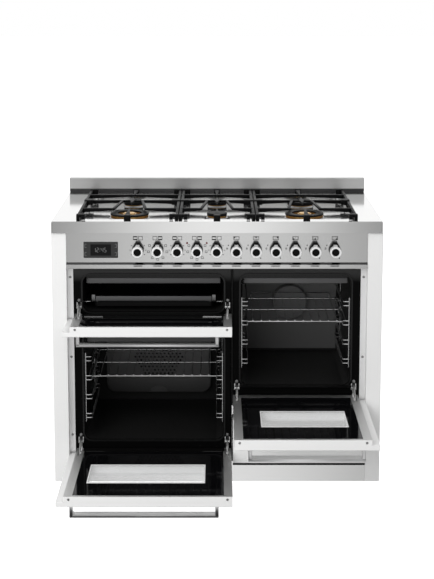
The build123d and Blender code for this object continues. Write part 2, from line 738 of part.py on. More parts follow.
def plan_bar(points, z):
    """A level bar from its outline in plan, given as (X, depth) points."""
    outline = Polygon(*[(x, at(depth)) for x, depth in points], align=None)
    return extrude(Plane.XY.offset(z[0]) * outline, amount=z[1] - z[0], dir=(0, 0, 1))


def finger(root, end, depth, top):
    """A cross finger that is deep at the side bar and slim at its inner end."""
    outline = Polygon((root, top), (end, top), (end, top - GRATE_SLIM), (root, top - GRATE_DEEP), align=None)
    plane = Plane(point(0, depth, 0), x_dir=(1, 0, 0), z_dir=(0, -1, 0))
    return extrude(plane * outline, amount=GRATE_BAR / 2, both=True)


def pan_support(middle, width):
    """One cast support: side bars, tapered fingers, a spine that swells between the burners, and feet."""
    top = WORKTOP + GRATE_TOP
    z = (top - GRATE_DEEP, top)
    half_depth = (FRONT_BURNERS + REAR_BURNERS) / 2
    pieces = []
    for side in (-1, 1):
        edge = middle + side * width / 2
        root = edge - side * GRATE_BAR / 2
        pieces.append(box(sorted((edge, edge - side * GRATE_BAR)), (GRATE_FRONT, GRATE_BACK), z))
        pieces.append(finger(root, middle + side * FINGER_END, FRONT_BURNERS, top))
        pieces.append(finger(root, middle, half_depth, top))
        pieces.append(finger(root, middle, REAR_BURNERS, top))
        front = [middle + side * FINGER_END, middle + side * (FINGER_END + GRATE_BAR)]
        back = [middle + side * (DIAGONAL_END + GRATE_BAR), middle + side * DIAGONAL_END]
        diagonal = [(x, FRONT_BURNERS) for x in front] + [(x, half_depth) for x in back]
        pieces.append(plan_bar(diagonal, (top - GRATE_SLIM, top)))
        foot_x = sorted((edge, edge - side * GRATE_FOOT))
        foot_z = (WORKTOP, top + GRATE_FOOT_PROUD)
        pieces.append(box(foot_x, (GRATE_FRONT, GRATE_FRONT + GRATE_FOOT_LENGTH), foot_z))
        pieces.append(box(foot_x, (GRATE_BACK - GRATE_FOOT_LENGTH, GRATE_BACK), foot_z))
        pad = (half_depth - GRATE_FOOT_LENGTH / 2, half_depth + GRATE_FOOT_LENGTH / 2)
        pieces.append(box(foot_x, pad, (z[0], top + GRATE_FOOT_PROUD)))
    stations = [
        (GRATE_FRONT + GRATE_FOOT_LENGTH, SPINE_WIDE),
        (FRONT_BURNERS, SPINE_SLIM),
        (half_depth, SPINE_WIDE),
        (REAR_BURNERS, SPINE_SLIM),
        (GRATE_BACK - GRATE_FOOT_LENGTH, SPINE_WIDE),
    ]
    right_side = [(middle + wide, depth) for depth, wide in stations]
    left_side = [(middle - wide, depth) for depth, wide in reversed(stations)]
    pieces.append(plan_bar(right_side + left_side, (top - GRATE_SLIM, top)))
    end_x = (middle - SPINE_WIDE, middle + SPINE_WIDE)
    pieces.append(box(end_x, (GRATE_FRONT, GRATE_FRONT + GRATE_FOOT_LENGTH), (WORKTOP, top)))
    pieces.append(box(end_x, (GRATE_BACK - GRATE_FOOT_LENGTH, GRATE_BACK), (WORKTOP, top)))
    return fuse(pieces)


def pan_supports():
    places = ((-BURNER_X, SIDE_GRATE), (0.0, MIDDLE_GRATE), (BURNER_X, SIDE_GRATE))
    return group(pan_support(middle, width) for middle, width in places)


def cavity(door, fan):
    """An enamelled oven box, open at the front, with the hole for its fan shaft."""
    depth = (FRAME_BACK, door.rear + SHEET)
    shell = plate(grown(door.mouth_x, SHEET), depth, grown(door.mouth_z, SHEET), MOUTH_CORNER + SHEET)
    shell -= plate(door.mouth_x, (FRAME_BACK - 1, door.rear), door.mouth_z, MOUTH_CORNER)
    if fan:
        start = (door.middle_x, door.rear - SHEET, door.fan_z)
        end = (door.middle_x, door.rear + 2 * SHEET, door.fan_z)
        shell -= bore(start, end, SHAFT_RADIUS + SHEET)
    return shell


def door_gaskets():
    seals = []
    depth = (FRAME_FACE - GASKET_THICK, FRAME_FACE)
    outer = GASKET_INNER + GASKET_WIDTH
    for door in DOORS.values():
        seal = plate(grown(door.mouth_x, outer), depth, grown(door.mouth_z, outer), MOUTH_CORNER + outer)
        inside_corner = MOUTH_CORNER + GASKET_INNER
        inside = (grown(door.mouth_x, GASKET_INNER), grown(door.mouth_z, GASKET_INNER))
        seals.append(seal - plate(inside[0], grown(depth, 1), inside[1], inside_corner))
    return group(seals)


def grill_element():
    """A tubular grill element that runs to and fro under the roof of the upper oven."""
    z = UPPER.mouth_z[1] - ELEMENT_DROP
    start = UPPER.middle_x - ELEMENT_PITCH * (ELEMENT_RUNS - 1) / 2
    route = [point(start, UPPER.rear, z)]
    for run in range(ELEMENT_RUNS):
        x = start + ELEMENT_PITCH * run
        ends = (ELEMENT_TURN, ELEMENT_FRONT) if run % 2 == 0 else (ELEMENT_FRONT, ELEMENT_TURN)
        if run > 0:
            route.append(point(x, ends[0], z))
        if run < ELEMENT_RUNS - 1:
            route.append(point(x, ends[1], z))
    route.append(point(start + ELEMENT_PITCH * (ELEMENT_RUNS - 1), UPPER.rear, z))
    path = Polyline(*route)
    section = Plane(path @ 0, z_dir=path % 0) * RegularPolygon(ELEMENT_RADIUS, 4)
    return sweep(section, path=path, transition=Transition.RIGHT)


def ring_element(door, radius):
    """The round element about a fan, on two legs that pass into the oven's back."""
    depth = door.rear - COVER_DEPTH / 2
    tube = Plane(point(door.middle_x + radius, depth, door.fan_z)) * RegularPolygon(ELEMENT_RADIUS, 4)
    hoop = revolve(tube, axis=Axis(point(door.middle_x, depth, door.fan_z), (0, 1, 0)))
    legs = []
    for side in (-1, 1):
        x = door.middle_x + side * radius * math.sin(math.radians(20))
        z = door.fan_z + radius * math.cos(math.radians(20))
        legs.append(rod((x, depth, z), (x, door.rear, z), ELEMENT_RADIUS - SHEET / 2))
    return fuse([hoop] + legs)


def heating_elements():
    main_ring = ring_element(LOWER, MAIN_FAN_RADIUS + RING_GAP + ELEMENT_RADIUS)
    right_ring = ring_element(RIGHT, RIGHT_FAN_RADIUS + RING_GAP)
    return group([grill_element(), main_ring, right_ring])


def perforations(door, radius):
    """Six-sided holes in a hexagonal pattern in front of a fan."""
    middle = point(door.middle_x, door.rear - COVER_DEPTH + 2 * SHEET, door.fan_z)
    plane = Plane(middle, x_dir=(1, 0, 0), z_dir=(0, -1, 0))
    holes = []
    for place in hexagon_places(radius - HOLE_RADIUS, HOLE_PITCH):
        outline = plane * Pos(*place) * RegularPolygon(HOLE_RADIUS, 6)
        holes.append(extrude(outline, amount=4 * SHEET))
    return fuse(holes)


def main_fan_cover():
    """A pressed cover with rounded corners and a shallow arched notch at its foot."""
    x = (LOWER.middle_x - MAIN_COVER_WIDTH / 2, LOWER.middle_x + MAIN_COVER_WIDTH / 2)
    z = (LOWER.fan_z - MAIN_COVER_HEIGHT / 2, LOWER.fan_z + MAIN_COVER_HEIGHT / 2)
    depth = (LOWER.rear - COVER_DEPTH, LOWER.rear)
    cover = plate(x, depth, z, MAIN_COVER_CORNER)
    inner_corner = MAIN_COVER_CORNER - SHEET
    cover -= plate(grown(x, -SHEET), (depth[0] + SHEET, depth[1] + 1), grown(z, -SHEET), inner_corner)
    notch_z = z[0] + NOTCH_RISE - NOTCH_RADIUS
    notch_ends = ((LOWER.middle_x, depth[0] - 1, notch_z), (LOWER.middle_x, depth[1] + 1, notch_z))
    return cover - rod(*notch_ends, NOTCH_RADIUS, 2 * LARGE_SIDES) - perforations(LOWER, MAIN_HOLES_RADIUS)


def right_fan_cover():
    front = RIGHT.rear - COVER_DEPTH
    x, z = RIGHT.middle_x, RIGHT.fan_z
    cover = rod((x, front, z), (x, RIGHT.rear, z), RIGHT_COVER_RADIUS, LARGE_SIDES)
    inside = RIGHT_COVER_RADIUS - SHEET
    cover -= rod((x, front + SHEET, z), (x, RIGHT.rear + 1, z), inside, LARGE_SIDES)
    return cover - perforations(RIGHT, RIGHT_HOLES_RADIUS)


def fan_covers():
    return group([main_fan_cover(), right_fan_cover()])


def fan_motors():
    motors = []
    for door in (LOWER, RIGHT):
        x, z = door.middle_x, door.fan_z
        back = door.rear + SHEET
        body = rod((x, back, z), (x, back + MOTOR_LENGTH, z), MOTOR_RADIUS)
        shaft_end = door.rear - FAN_BACK_GAP - HUB_LENGTH
        motors.append(body + rod((x, shaft_end, z), (x, back + SHEET, z), SHAFT_RADIUS))
    return group(motors)


def fan(door, radius):
    """A fan wheel: a back disc, radial blades and a hub that runs on the motor shaft."""
    x, z = door.middle_x, door.fan_z
    back = door.rear - FAN_BACK_GAP
    wheel = rod((x, back - BLADE, z), (x, back, z), radius, LARGE_SIDES)
    wheel += rod((x, back - HUB_LENGTH, z), (x, back, z), HUB_RADIUS)
    blades = []
    for i in range(FAN_BLADES):
        start = radius / 2
        blade = Pos((start + radius) / 2, 0, 0) * Box(radius - start - BLADE, BLADE_DEPTH, BLADE)
        turn = Rot(0, 360 * i / FAN_BLADES, 0)
        blades.append(Pos(*point(x, back - BLADE_DEPTH / 2, z)) * turn * blade)
    wheel = fuse([wheel] + blades)
    return wheel - bore((x, back - HUB_LENGTH - 1, z), (x, back + 1, z), SHAFT_RADIUS + SHAFT_PLAY)


def shelf_z(door, shelf):
    """Middle of a shelf's lower wire."""
    return door.mouth_z[0] + SHELF_FIRST + SHELF_PITCH * shelf


def ladder(door, side):
    """One wire ladder on an oven's side wall: two uprights and a pair of wires for each shelf."""
    wall = door.mouth_x[0 if side > 0 else 1]
    upright_x = wall + side * RUNG
    rung_x = wall + side * 3 * RUNG * 0.95
    low = shelf_z(door, 0) - RUNG_SPACE
    high = shelf_z(door, SHELF_COUNT - 1) + 2 * RUNG_SPACE
    back = LADDER_FRONT + LADDER_LENGTH
    pieces = [wire((upright_x, depth, low), (upright_x, depth, high), RUNG) for depth in (LADDER_FRONT, back)]
    for shelf in range(SHELF_COUNT):
        for rise in (0, RUNG_SPACE):
            z = shelf_z(door, shelf) + rise
            start = (rung_x, LADDER_FRONT - RUNG, z)
            pieces.append(wire(start, (rung_x, back + RUNG, z), RUNG))
    return fuse(pieces)


def tray_ledge(side):
    wall = UPPER.mouth_x[0 if side > 0 else 1]
    across = sorted((wall, wall + side * (TRAY_SIDE + TRAY_RIM_WIDTH / 2)))
    top = tray_rim_z() - CLEAR
    return box(across, (TRAY_FRONT, TRAY_FRONT + TRAY_LENGTH), (top - TRAY_LEDGE, top))


def ladder_rails():
    pieces = [ladder(door, side) for door in (LOWER, RIGHT) for side in (1, -1)]
    return group(pieces + [tray_ledge(side) for side in (1, -1)])


def rack(door):
    """A wire shelf: outer bars, three cross bars, long wires on top and a raised rail at the back."""
    rung_x = 3 * RUNG * 0.95
    side_x = rung_x + RACK_SIDE * 0.6
    z = shelf_z(door, SHELF_USED) + RUNG + CLEAR + RACK_SIDE
    x = grown(door.mouth_x, -side_x)
    back = RACK_FRONT + RACK_LENGTH
    bars = [wire((side, RACK_FRONT, z), (side, back, z), RACK_SIDE) for side in x]
    for depth in (RACK_FRONT + 2 * RACK_SIDE, (RACK_FRONT + back) / 2, back - 2 * RACK_SIDE):
        bars.append(wire((x[0], depth, z), (x[1], depth, z), RACK_WIRE))
    count = int((x[1] - x[0]) / RACK_PITCH) - 1
    first = door.middle_x - RACK_PITCH * (count - 1) / 2
    for i in range(count):
        place = first + RACK_PITCH * i
        height = z + RACK_WIRE * 1.6
        bars.append(wire((place, RACK_FRONT, height), (place, back, height), RACK_WIRE))
    rail_z = z + RACK_RAISE
    posts = (first + RACK_WIRE, first + RACK_PITCH * (count - 1) - RACK_WIRE)
    rail = [wire((post, back, z), (post, back, rail_z), RACK_WIRE) for post in posts]
    rail.append(wire((posts[0] - RACK_WIRE, back, rail_z), (posts[1] + RACK_WIRE, back, rail_z), RACK_WIRE))
    return fuse(bars + rail)


def tray_rim_z():
    """Underside of the grill tray's rim."""
    return UPPER.mouth_z[0] + TRAY_FLOOR_GAP + TRAY_HEIGHT - TRAY_RIM


def grill_tray():
    """A shallow enamelled pan with rounded corners, hung by its rim."""
    rim_x = grown(UPPER.mouth_x, -TRAY_SIDE)
    depth = (TRAY_FRONT, TRAY_FRONT + TRAY_LENGTH)
    pan_x = grown(rim_x, -TRAY_RIM_WIDTH)
    low = tray_rim_z() + TRAY_RIM - TRAY_HEIGHT
    top = low + TRAY_HEIGHT
    tray = tile(rim_x, depth, (top - TRAY_RIM, top), TRAY_CORNER)
    tray += tile(pan_x, depth, (low, top), TRAY_CORNER)
    inside = (low + SHEET, top + 1)
    return tray - tile(grown(pan_x, -SHEET), grown(depth, -SHEET), inside, TRAY_CORNER - SHEET)


def hinge_arm(door, x):
    """A fixed hinge arm: a foot behind the front frame, a bar through its slot, an eye and the pin."""
    half = ARM_THICK / 2
    z = door.pivot_z
    bar_z = (z - ARM_HEIGHT / 2, z + ARM_HEIGHT / 2)
    bar = box((x - half, x + half), (PIVOT_DEPTH, FRAME_BACK + SHEET), bar_z)
    eye = rod((x - half, PIVOT_DEPTH, z), (x + half, PIVOT_DEPTH, z), EYE_RADIUS)
    pin_half = LEAF_HALF - CLEAR
    pin = rod((x - pin_half, PIVOT_DEPTH, z), (x + pin_half, PIVOT_DEPTH, z), PIN_RADIUS)
    foot_x = (x - ARM_FOOT_WIDTH / 2, x + ARM_FOOT_WIDTH / 2)
    foot = box(foot_x, (FRAME_BACK, FRAME_BACK + FRAME_SHEET), (z - ARM_FOOT_DROP, z + ARM_FOOT_RISE))
    return fuse([bar, eye, pin, foot])


def hinge_arms():
    return group(hinge_arm(door, x) for door in DOORS.values() for x in door.hinges)


def door_skin(door):
    """The white outer panel: a shallow pan that is open to the inner frame, with its window."""
    shell = box((door.left, door.right), (0, SKIN), (door.bottom, door.top))
    shell = fillet(shell.faces().sort_by(Axis.Y)[0].edges(), SKIN_EDGE)
    z = (door.bottom + SHEET, door.top - SHEET)
    cuts = [box((door.left + SHEET, door.right - SHEET), (SHEET, SKIN - SHEET), z)]
    cuts.append(box((door.frame_left + SHEET, door.frame_right - SHEET), (SHEET, SKIN + 1), z))
    if door.window:
        cuts.append(door.window_box((-1, SKIN), 0))
    for hinge in door.hinges:
        half = LEAF_HALF + CLEAR
        front = PIVOT_DEPTH - EYE_RADIUS - 1
        cuts.append(box((hinge - half, hinge + half), (front, SKIN + 1), (door.bottom - 1, door.pivot_z)))
    return door.opened(shell - fuse(cuts))


def hinge_leaf(door, x):
    """The door's half of a hinge: two cheeks about the fixed arm, a strap and a curved stay."""
    z = door.pivot_z
    inner = ARM_THICK / 2 + ARM_PLAY
    strap = (PIVOT_DEPTH - STRAP_WIDTH / 2, PIVOT_DEPTH + STRAP_WIDTH / 2)
    pieces = []
    for side in (-1, 1):
        across = sorted((x + side * inner, x + side * LEAF_HALF))
        pieces.append(box(across, strap, (z, z + STRAP_LENGTH)))
        pieces.append(rod((across[0], PIVOT_DEPTH, z), (across[1], PIVOT_DEPTH, z), EYE_RADIUS))
    web_z = (z + STAY_RADIUS - STAY_WIDTH / 2, z + STRAP_LENGTH)
    pieces.append(box((x - LEAF_HALF, x + LEAF_HALF), strap, web_z))
    section = Plane(point(x, PIVOT_DEPTH, z + STAY_RADIUS), x_dir=(1, 0, 0), z_dir=(0, 1, 0))
    pivot = Axis(point(x, PIVOT_DEPTH, z), (-1, 0, 0))
    pieces.append(revolve(section * Rectangle(STAY_THICK, STAY_WIDTH), axis=pivot, revolution_arc=STAY_SWEEP))
    ends = ((x - 2 * LEAF_HALF, PIVOT_DEPTH, z), (x + 2 * LEAF_HALF, PIVOT_DEPTH, z))
    return fuse(pieces) - bore(*ends, PIN_RADIUS + PIN_PLAY)


def door_frame(door):
    """The inner frame: four rails with a rebate for the glass, and hinge leaves in the side rails."""
    depth = (SKIN, DOOR)
    ring_body = box((door.frame_left, door.frame_right), depth, (door.bottom, door.top))
    glass_x = (door.frame_left + RAIL, door.frame_right - RAIL)
    glass_z = (door.bottom + BOTTOM_RAIL, door.top - TOP_RAIL)
    cuts = [box(grown(glass_x, -LEDGE), grown(depth, 1), grown(glass_z, -LEDGE))]
    cuts.append(box(glass_x, (DOOR - GLASS, DOOR + 1), glass_z))
    for hinge in door.hinges:
        pocket = (hinge - LEAF_HALF, hinge + LEAF_HALF)
        cuts.append(box(pocket, grown(depth, 1), (door.bottom - 1, door.pivot_z + STRAP_LENGTH)))
    leaves = [hinge_leaf(door, hinge) for hinge in door.hinges]
    return door.opened(fuse([ring_body - fuse(cuts)] + leaves))


def door_glass(door):
    """The inner pane in its rebate and, where there is a window, the outer pane behind the skin."""
    glass_x = grown((door.frame_left + RAIL, door.frame_right - RAIL), -GLASS_PLAY)
    glass_z = grown((door.bottom + BOTTOM_RAIL, door.top - TOP_RAIL), -GLASS_PLAY)
    panes = [box(glass_x, (DOOR - GLASS, DOOR), glass_z)]
    if door.window:
        panes.append(door.window_box((SHEET, SHEET + GLASS), WINDOW_LAP))
    return group(door.opened(pane) for pane in panes)


def door_handle(door):
    """A square bar on two posts."""
    x = (door.left + HANDLE_INSET, door.right - HANDLE_INSET)
    middle = door.top - HANDLE_DROP
    z = (middle - HANDLE_WIDTH / 2, middle + HANDLE_WIDTH / 2)
    body = box(x, (-HANDLE_STAND, 0), z)
    gap = box(grown(x, -HANDLE_POST), (-HANDLE_STAND + HANDLE_BAR, 1), grown(z, 1))
    front = body.faces().sort_by(Axis.Y)[0].edges()
    return door.opened(chamfer(front, HANDLE_EDGE) - gap)


def drawer_front():
    across = (RIGHT_EDGE, BODY)
    z = (DRAWER_FLOOR, DRAWER_TOP)
    shell = box(across, (0, SKIN), z)
    shell = fillet(shell.faces().sort_by(Axis.Y)[0].edges(), SKIN_EDGE)
    return shell - box(grown(across, -SHEET), (SHEET, SKIN - SHEET), grown(z, -SHEET))


def drawer_box():
    """An open-topped box whose side flanges ride on the runners."""
    depth = (SKIN, SKIN + DRAWER_LENGTH)
    z = (DRAWER_BOX_FLOOR, DRAWER_BOX_FLOOR + DRAWER_BOX_HEIGHT)
    tub = box(DRAWER_X, depth, z)
    tub -= box(grown(DRAWER_X, -DRAWER_SHEET), grown(depth, -DRAWER_SHEET), (z[0] + DRAWER_SHEET, z[1] + 1))
    flange_z = (RUNNER_Z + CLEAR, RUNNER_Z + CLEAR + DRAWER_SHEET)
    reach = DRAWER_FLANGE_GAP - 2 * CLEAR
    flange_depth = (FRAME_BACK, depth[1])
    left = box((DRAWER_X[0] - reach, DRAWER_X[0] + DRAWER_SHEET), flange_depth, flange_z)
    right = box((DRAWER_X[1] - DRAWER_SHEET, DRAWER_X[1] + reach), flange_depth, flange_z)
    return fuse([tub, left, right])


def drawer_runners():
    depth = (RUNNER_FRONT, RUNNER_FRONT + RUNNER_LENGTH)
    z = (RUNNER_Z - RUNNER_THICK, RUNNER_Z)
    left_wall = SPLIT_X + SHEET / 2
    right_wall = BODY - SHEET
    left = box((left_wall, DRAWER_X[0] - CLEAR), depth, z)
    right = box((DRAWER_X[1] + CLEAR, right_wall), depth, z)
    upright_z = (RUNNER_Z - DRAWER_SIDE_GAP, RUNNER_Z)
    left += box((left_wall, left_wall + RUNNER_THICK), depth, upright_z)
    right += box((right_wall - RUNNER_THICK, right_wall), depth, upright_z)
    return group([left, right])


def all_nodes():
    nodes = {
        "chassis": chassis(),
        "levelling_feet": levelling_feet(),
        "side_panels": side_panels(),
        "rear_cover": rear_cover(),
        "front_frames": front_frames(),
        "kick_plate": kick_plate(),
        "hob_top": hob_top(),
        "backguard": backguard(),
        "control_panel": control_panel(),
        "panel_trim": panel_trim(),
        "clock_module": clock_module(),
        "indicator_lamps": indicator_lamps(),
        "gas_manifold": gas_manifold(),
        "oven_switches": oven_switches(),
        "terminal_box": terminal_box(),
        "burner_cups": burner_cups(),
        "burner_rings": burner_rings(),
        "burner_caps": burner_caps(),
        "spark_electrodes": spark_electrodes(),
        "pan_supports": pan_supports(),
        "grill_cavity": cavity(UPPER, fan=False),
        "main_cavity": cavity(LOWER, fan=True),
        "right_cavity": cavity(RIGHT, fan=True),
        "door_gaskets": door_gaskets(),
        "heating_elements": heating_elements(),
        "fan_covers": fan_covers(),
        "fan_motors": fan_motors(),
        "main_fan": fan(LOWER, MAIN_FAN_RADIUS),
        "right_fan": fan(RIGHT, RIGHT_FAN_RADIUS),
        "ladder_rails": ladder_rails(),
        "main_rack": rack(LOWER),
        "right_rack": rack(RIGHT),
        "grill_tray": grill_tray(),
        "hinge_arms": hinge_arms(),
        "drawer_runners": drawer_runners(),
        "drawer_front": drawer_front(),
        "drawer_box": drawer_box(),
    }
    for name, door in DOORS.items():
        nodes[name + "_door_skin"] = door_skin(door)
        nodes[name + "_door_frame"] = door_frame(door)
        nodes[name + "_door_glass"] = door_glass(door)
        nodes[name + "_door_handle"] = door_handle(door)
    for number, x in enumerate(KNOB_X, start=1):
        nodes[f"knob_{number:02d}"] = knob(x)
    return nodes


os.makedirs("parts", exist_ok=True)
for node, shape in all_nodes().items():
    export_step(shape, f"parts/{node}.step")
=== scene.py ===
# %% [markdown]
# # A range cooker with its doors open
# The cooker comes from CAD with every sheet, hinge and knob in its true place.
# This lesson dresses it: it gives each part a finish, swaps the plain wires, knobs
# and burners for finer ones, and lights it like a picture in a catalogue.

# %% Load the cooker
import math

import bmesh
import bpy
from mathutils import Matrix, Vector


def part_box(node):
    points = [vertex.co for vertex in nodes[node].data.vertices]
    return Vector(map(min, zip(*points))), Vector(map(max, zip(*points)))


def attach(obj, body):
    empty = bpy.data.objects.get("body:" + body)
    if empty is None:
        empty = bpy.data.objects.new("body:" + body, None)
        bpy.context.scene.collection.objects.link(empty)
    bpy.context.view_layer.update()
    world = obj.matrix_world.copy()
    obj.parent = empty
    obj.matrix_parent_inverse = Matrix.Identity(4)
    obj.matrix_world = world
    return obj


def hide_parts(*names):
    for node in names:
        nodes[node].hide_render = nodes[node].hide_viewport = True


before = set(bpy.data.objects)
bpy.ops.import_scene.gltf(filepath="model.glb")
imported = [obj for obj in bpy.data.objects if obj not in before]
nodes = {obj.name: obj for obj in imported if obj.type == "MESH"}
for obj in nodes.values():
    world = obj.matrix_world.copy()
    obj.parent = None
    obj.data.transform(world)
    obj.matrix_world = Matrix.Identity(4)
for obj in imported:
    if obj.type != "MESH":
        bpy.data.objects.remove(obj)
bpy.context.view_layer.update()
MM = 0.001
DOORS = ("upper", "lower", "right")
print("CAD parts:", len(nodes))

# %% [markdown]
# ## Tools for new pieces
# Every new piece starts as a bmesh, Blender's editable mesh. A few helpers add a
# rounded block, a round bar or a turned form to it. Then `finish_piece` makes the
# object, and ties it to the CAD body it moves with.

# %% Helpers for meshes
SMOOTH_BELOW = math.radians(35)
SPIN_WELD = 1e-7
FORWARD = Matrix.Rotation(math.radians(90), 4, "X")


def half_way(low, high, axis):
    return (low[axis] + high[axis]) / 2


def round_off(bm, edges, width, segments=2):
    """Rounds some edges of a mesh."""
    bmesh.ops.bevel(
        bm, geom=edges, offset=width, segments=segments, profile=0.5, affect="EDGES", material=-1
    )


def rounded_block(bm, low, high, edge=0.0):
    """Adds a box between two corners, with its edges rounded."""
    low, high = Vector(low), Vector(high)
    verts = bmesh.ops.create_cube(bm, size=1.0)["verts"]
    bmesh.ops.scale(bm, vec=high - low, verts=verts)
    bmesh.ops.translate(bm, vec=(low + high) / 2, verts=verts)
    if edge:
        round_off(bm, list({e for v in verts for e in v.link_edges}), edge)


def round_bar(bm, start, end, radius, sides=12):
    """Adds a straight round bar between two points."""
    start, end = Vector(start), Vector(end)
    run = end - start
    turn = run.to_track_quat("Z", "Y").to_matrix().to_4x4()
    place = Matrix.Translation((start + end) / 2) @ turn
    bmesh.ops.create_cone(
        bm, cap_ends=True, segments=sides, radius1=radius, radius2=radius, depth=run.length, matrix=place
    )


def turned(bm, outline, place, steps=48):
    """Spins an outline of (radius, height) points about its own axis and puts it in place."""
    older = set(bm.verts)
    verts = [bm.verts.new((radius, 0, height)) for radius, height in outline]
    edges = [bm.edges.new(pair) for pair in zip(verts, verts[1:])]
    centre, axis = (0, 0, 0), (0, 0, 1)
    bmesh.ops.spin(
        bm, geom=verts + edges, cent=centre, axis=axis, angle=math.tau, steps=steps, use_merge=True
    )
    bmesh.ops.remove_doubles(bm, verts=[v for v in bm.verts if v not in older], dist=SPIN_WELD)
    made = [v for v in bm.verts if v not in older]
    bmesh.ops.recalc_face_normals(bm, faces=list({f for v in made for f in v.link_faces}))
    bmesh.ops.transform(bm, matrix=place, verts=made)


def finish_piece(name, bm, material, body, replaced=()):
    """Makes the object, shades it smooth between sharp edges, and ties it to a CAD body."""
    mesh = bpy.data.meshes.new(name)
    bm.to_mesh(mesh)
    bm.free()
    mesh.shade_smooth()
    mesh.set_sharp_from_angle(angle=SMOOTH_BELOW)
    mesh.materials.append(material)
    piece = bpy.data.objects.new(name, mesh)
    bpy.context.scene.collection.objects.link(piece)
    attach(piece, body)
    if replaced:
        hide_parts(*replaced)


def block_piece(name, low, high, edge, material, body="cooker"):
    """Makes a piece that is one block."""
    bm = bmesh.new()
    rounded_block(bm, low, high, edge)
    finish_piece(name, bm, material, body)


print("helpers ready; FORWARD takes +Z to", tuple(FORWARD @ Vector((0, 0, 1))))

# %% [markdown]
# ## Finishes
# Real cookers use few finishes: white and black enamel, brushed steel, chrome, cast
# iron, brass and glass. Each is a Principled shader. What is the same all over is set
# on the shader's own sockets. Pictures of real surfaces could give the rest, but a
# noise on the piece's own coordinates needs no file. It varies the roughness and gives
# a very low bump. Brushed steel shows fine lines, so its noise is stretched along the
# grain. Enamel, chrome and castings have a fine round grain, so theirs isn't.

# %% Helpers for finishes
COAT_ROUGHNESS = 0.05
GRAIN_DETAIL = 3.0
GRAIN_DEPTH = 0.5 * MM
EVEN = (1.0, 1.0, 1.0)
BRUSH_ALONG_X = (1.0, 60.0, 60.0)
BRUSH_SCALE = 18.0


def fill(node, values):
    """Sets the inputs of a shader node. A value that is another node's socket is linked."""
    for name, value in values.items():
        if isinstance(value, bpy.types.NodeSocket):
            node.id_data.links.new(value, node.inputs[name])
        else:
            node.inputs[name].default_value = value
    return node


def add_node(tree, kind, values):
    return fill(tree.nodes.new(f"ShaderNode{kind}"), values)


def plain_finish(name, colour, roughness, metallic=0.0, coat=0.0, specular=0.5):
    """A finish that is the same all over. Its colour is three values, or one for a grey."""
    material = bpy.data.materials.new(name)
    material.use_nodes = True
    tint = colour if isinstance(colour, tuple) else (colour,) * 3
    values = {"Base Color": (*tint, 1.0), "Roughness": roughness, "Metallic": metallic}
    values |= {"Coat Weight": coat, "Coat Roughness": COAT_ROUGHNESS, "Specular IOR Level": specular}
    fill(material.node_tree.nodes["Principled BSDF"], values)
    return material


def grained(name, colour, rough, scale, bump, stretch=EVEN, **surface):
    """A finish with a grain: its roughness varies between two values, and its face a little."""
    material = plain_finish(name, colour, sum(rough) / 2, **surface)
    tree = material.node_tree
    place = tree.nodes.new("ShaderNodeTexCoord").outputs["Object"]
    drawn = add_node(tree, "Mapping", {"Vector": place, "Scale": stretch}).outputs["Vector"]
    noise = add_node(tree, "TexNoise", {"Vector": drawn, "Scale": scale, "Detail": GRAIN_DETAIL})
    grain = noise.outputs["Fac"]
    span = add_node(tree, "MapRange", {"Value": grain, "To Min": rough[0], "To Max": rough[1]})
    relief = add_node(tree, "Bump", {"Height": grain, "Strength": bump, "Distance": GRAIN_DEPTH})
    varied = {"Roughness": span.outputs["Result"], "Normal": relief.outputs["Normal"]}
    fill(tree.nodes["Principled BSDF"], varied)
    return material


def brushed(name, colour, rough, bump, metallic=1.0):
    return grained(name, colour, rough, BRUSH_SCALE, bump, BRUSH_ALONG_X, metallic=metallic)


def paint_light_by_height(material, low, high, dark, light):
    """Paints light and shade into the colour, which rises from dark to light between two heights."""
    tree = material.node_tree
    place = tree.nodes.new("ShaderNodeTexCoord").outputs["Object"]
    height = add_node(tree, "SeparateXYZ", {"Vector": place}).outputs["Z"]
    ends = {"From Min": low, "From Max": high, "To Min": dark, "To Max": light}
    rise = add_node(tree, "MapRange", {"Value": height} | ends)
    fill(tree.nodes["Principled BSDF"], {"Base Color": rise.outputs["Result"]})


print("grain depth:", GRAIN_DEPTH)

# %% [markdown]
# Each finish is now one line: its name, its colour, how rough it is, and then the size
# of its grain and the strength of the bump.

# %% Enamel, plastic and glass
white_enamel = grained("white enamel", (0.86, 0.86, 0.855), (0.25, 0.33), 140.0, 0.02, coat=0.3)
black_enamel = grained("black enamel", 0.004, (0.27, 0.36), 300.0, 0.03, specular=0.15)
cavity_enamel = grained("cavity enamel", 0.011, (0.35, 0.45), 300.0, 0.04, specular=0.18)
# The main fan cover's colour is replaced further down by painted shade at its foot, rising to painted
# light.
cover_enamel_painted_shade = grained("cover enamel painted shade", 0.14, (0.4, 0.5), 300.0, 0.04, specular=0.3)
burner_cap_enamel = grained("burner cap enamel", 0.006, (0.4, 0.55), 700.0, 0.08, specular=0.12)
porcelain = grained("porcelain", (0.6, 0.58, 0.54), (0.35, 0.45), 300.0, 0.02)
black_plastic = grained("black plastic", 0.004, (0.3, 0.4), 1200.0, 0.05, specular=0.08)
seal_rubber = grained("seal", 0.004, (0.24, 0.32), 700.0, 0.03, specular=0.4)
# This black enamel's colour is replaced further down by a painted highlight near the frames' top edge.
frame_enamel_painted_highlight = plain_finish("frame enamel painted highlight", 0.004, 0.32, specular=0.05)
# The back sheet's colour is replaced further down by painted light that rises towards the top.
back_sheet_painted_light = plain_finish("back sheet", 0.05, 0.5, specular=0.2)
red_lens = plain_finish("red lens", (0.13, 0.002, 0.002), 0.25, specular=0.1)
black_glass = plain_finish("black glass", (0.003, 0.003, 0.0035), 0.06, specular=0.35)
clear_glass = plain_finish("clear glass", (0.92, 0.93, 0.93), 0.05)
fill(clear_glass.node_tree.nodes["Principled BSDF"], {"Alpha": 0.16})
print("enamels, plastics and glass:", len(bpy.data.materials))

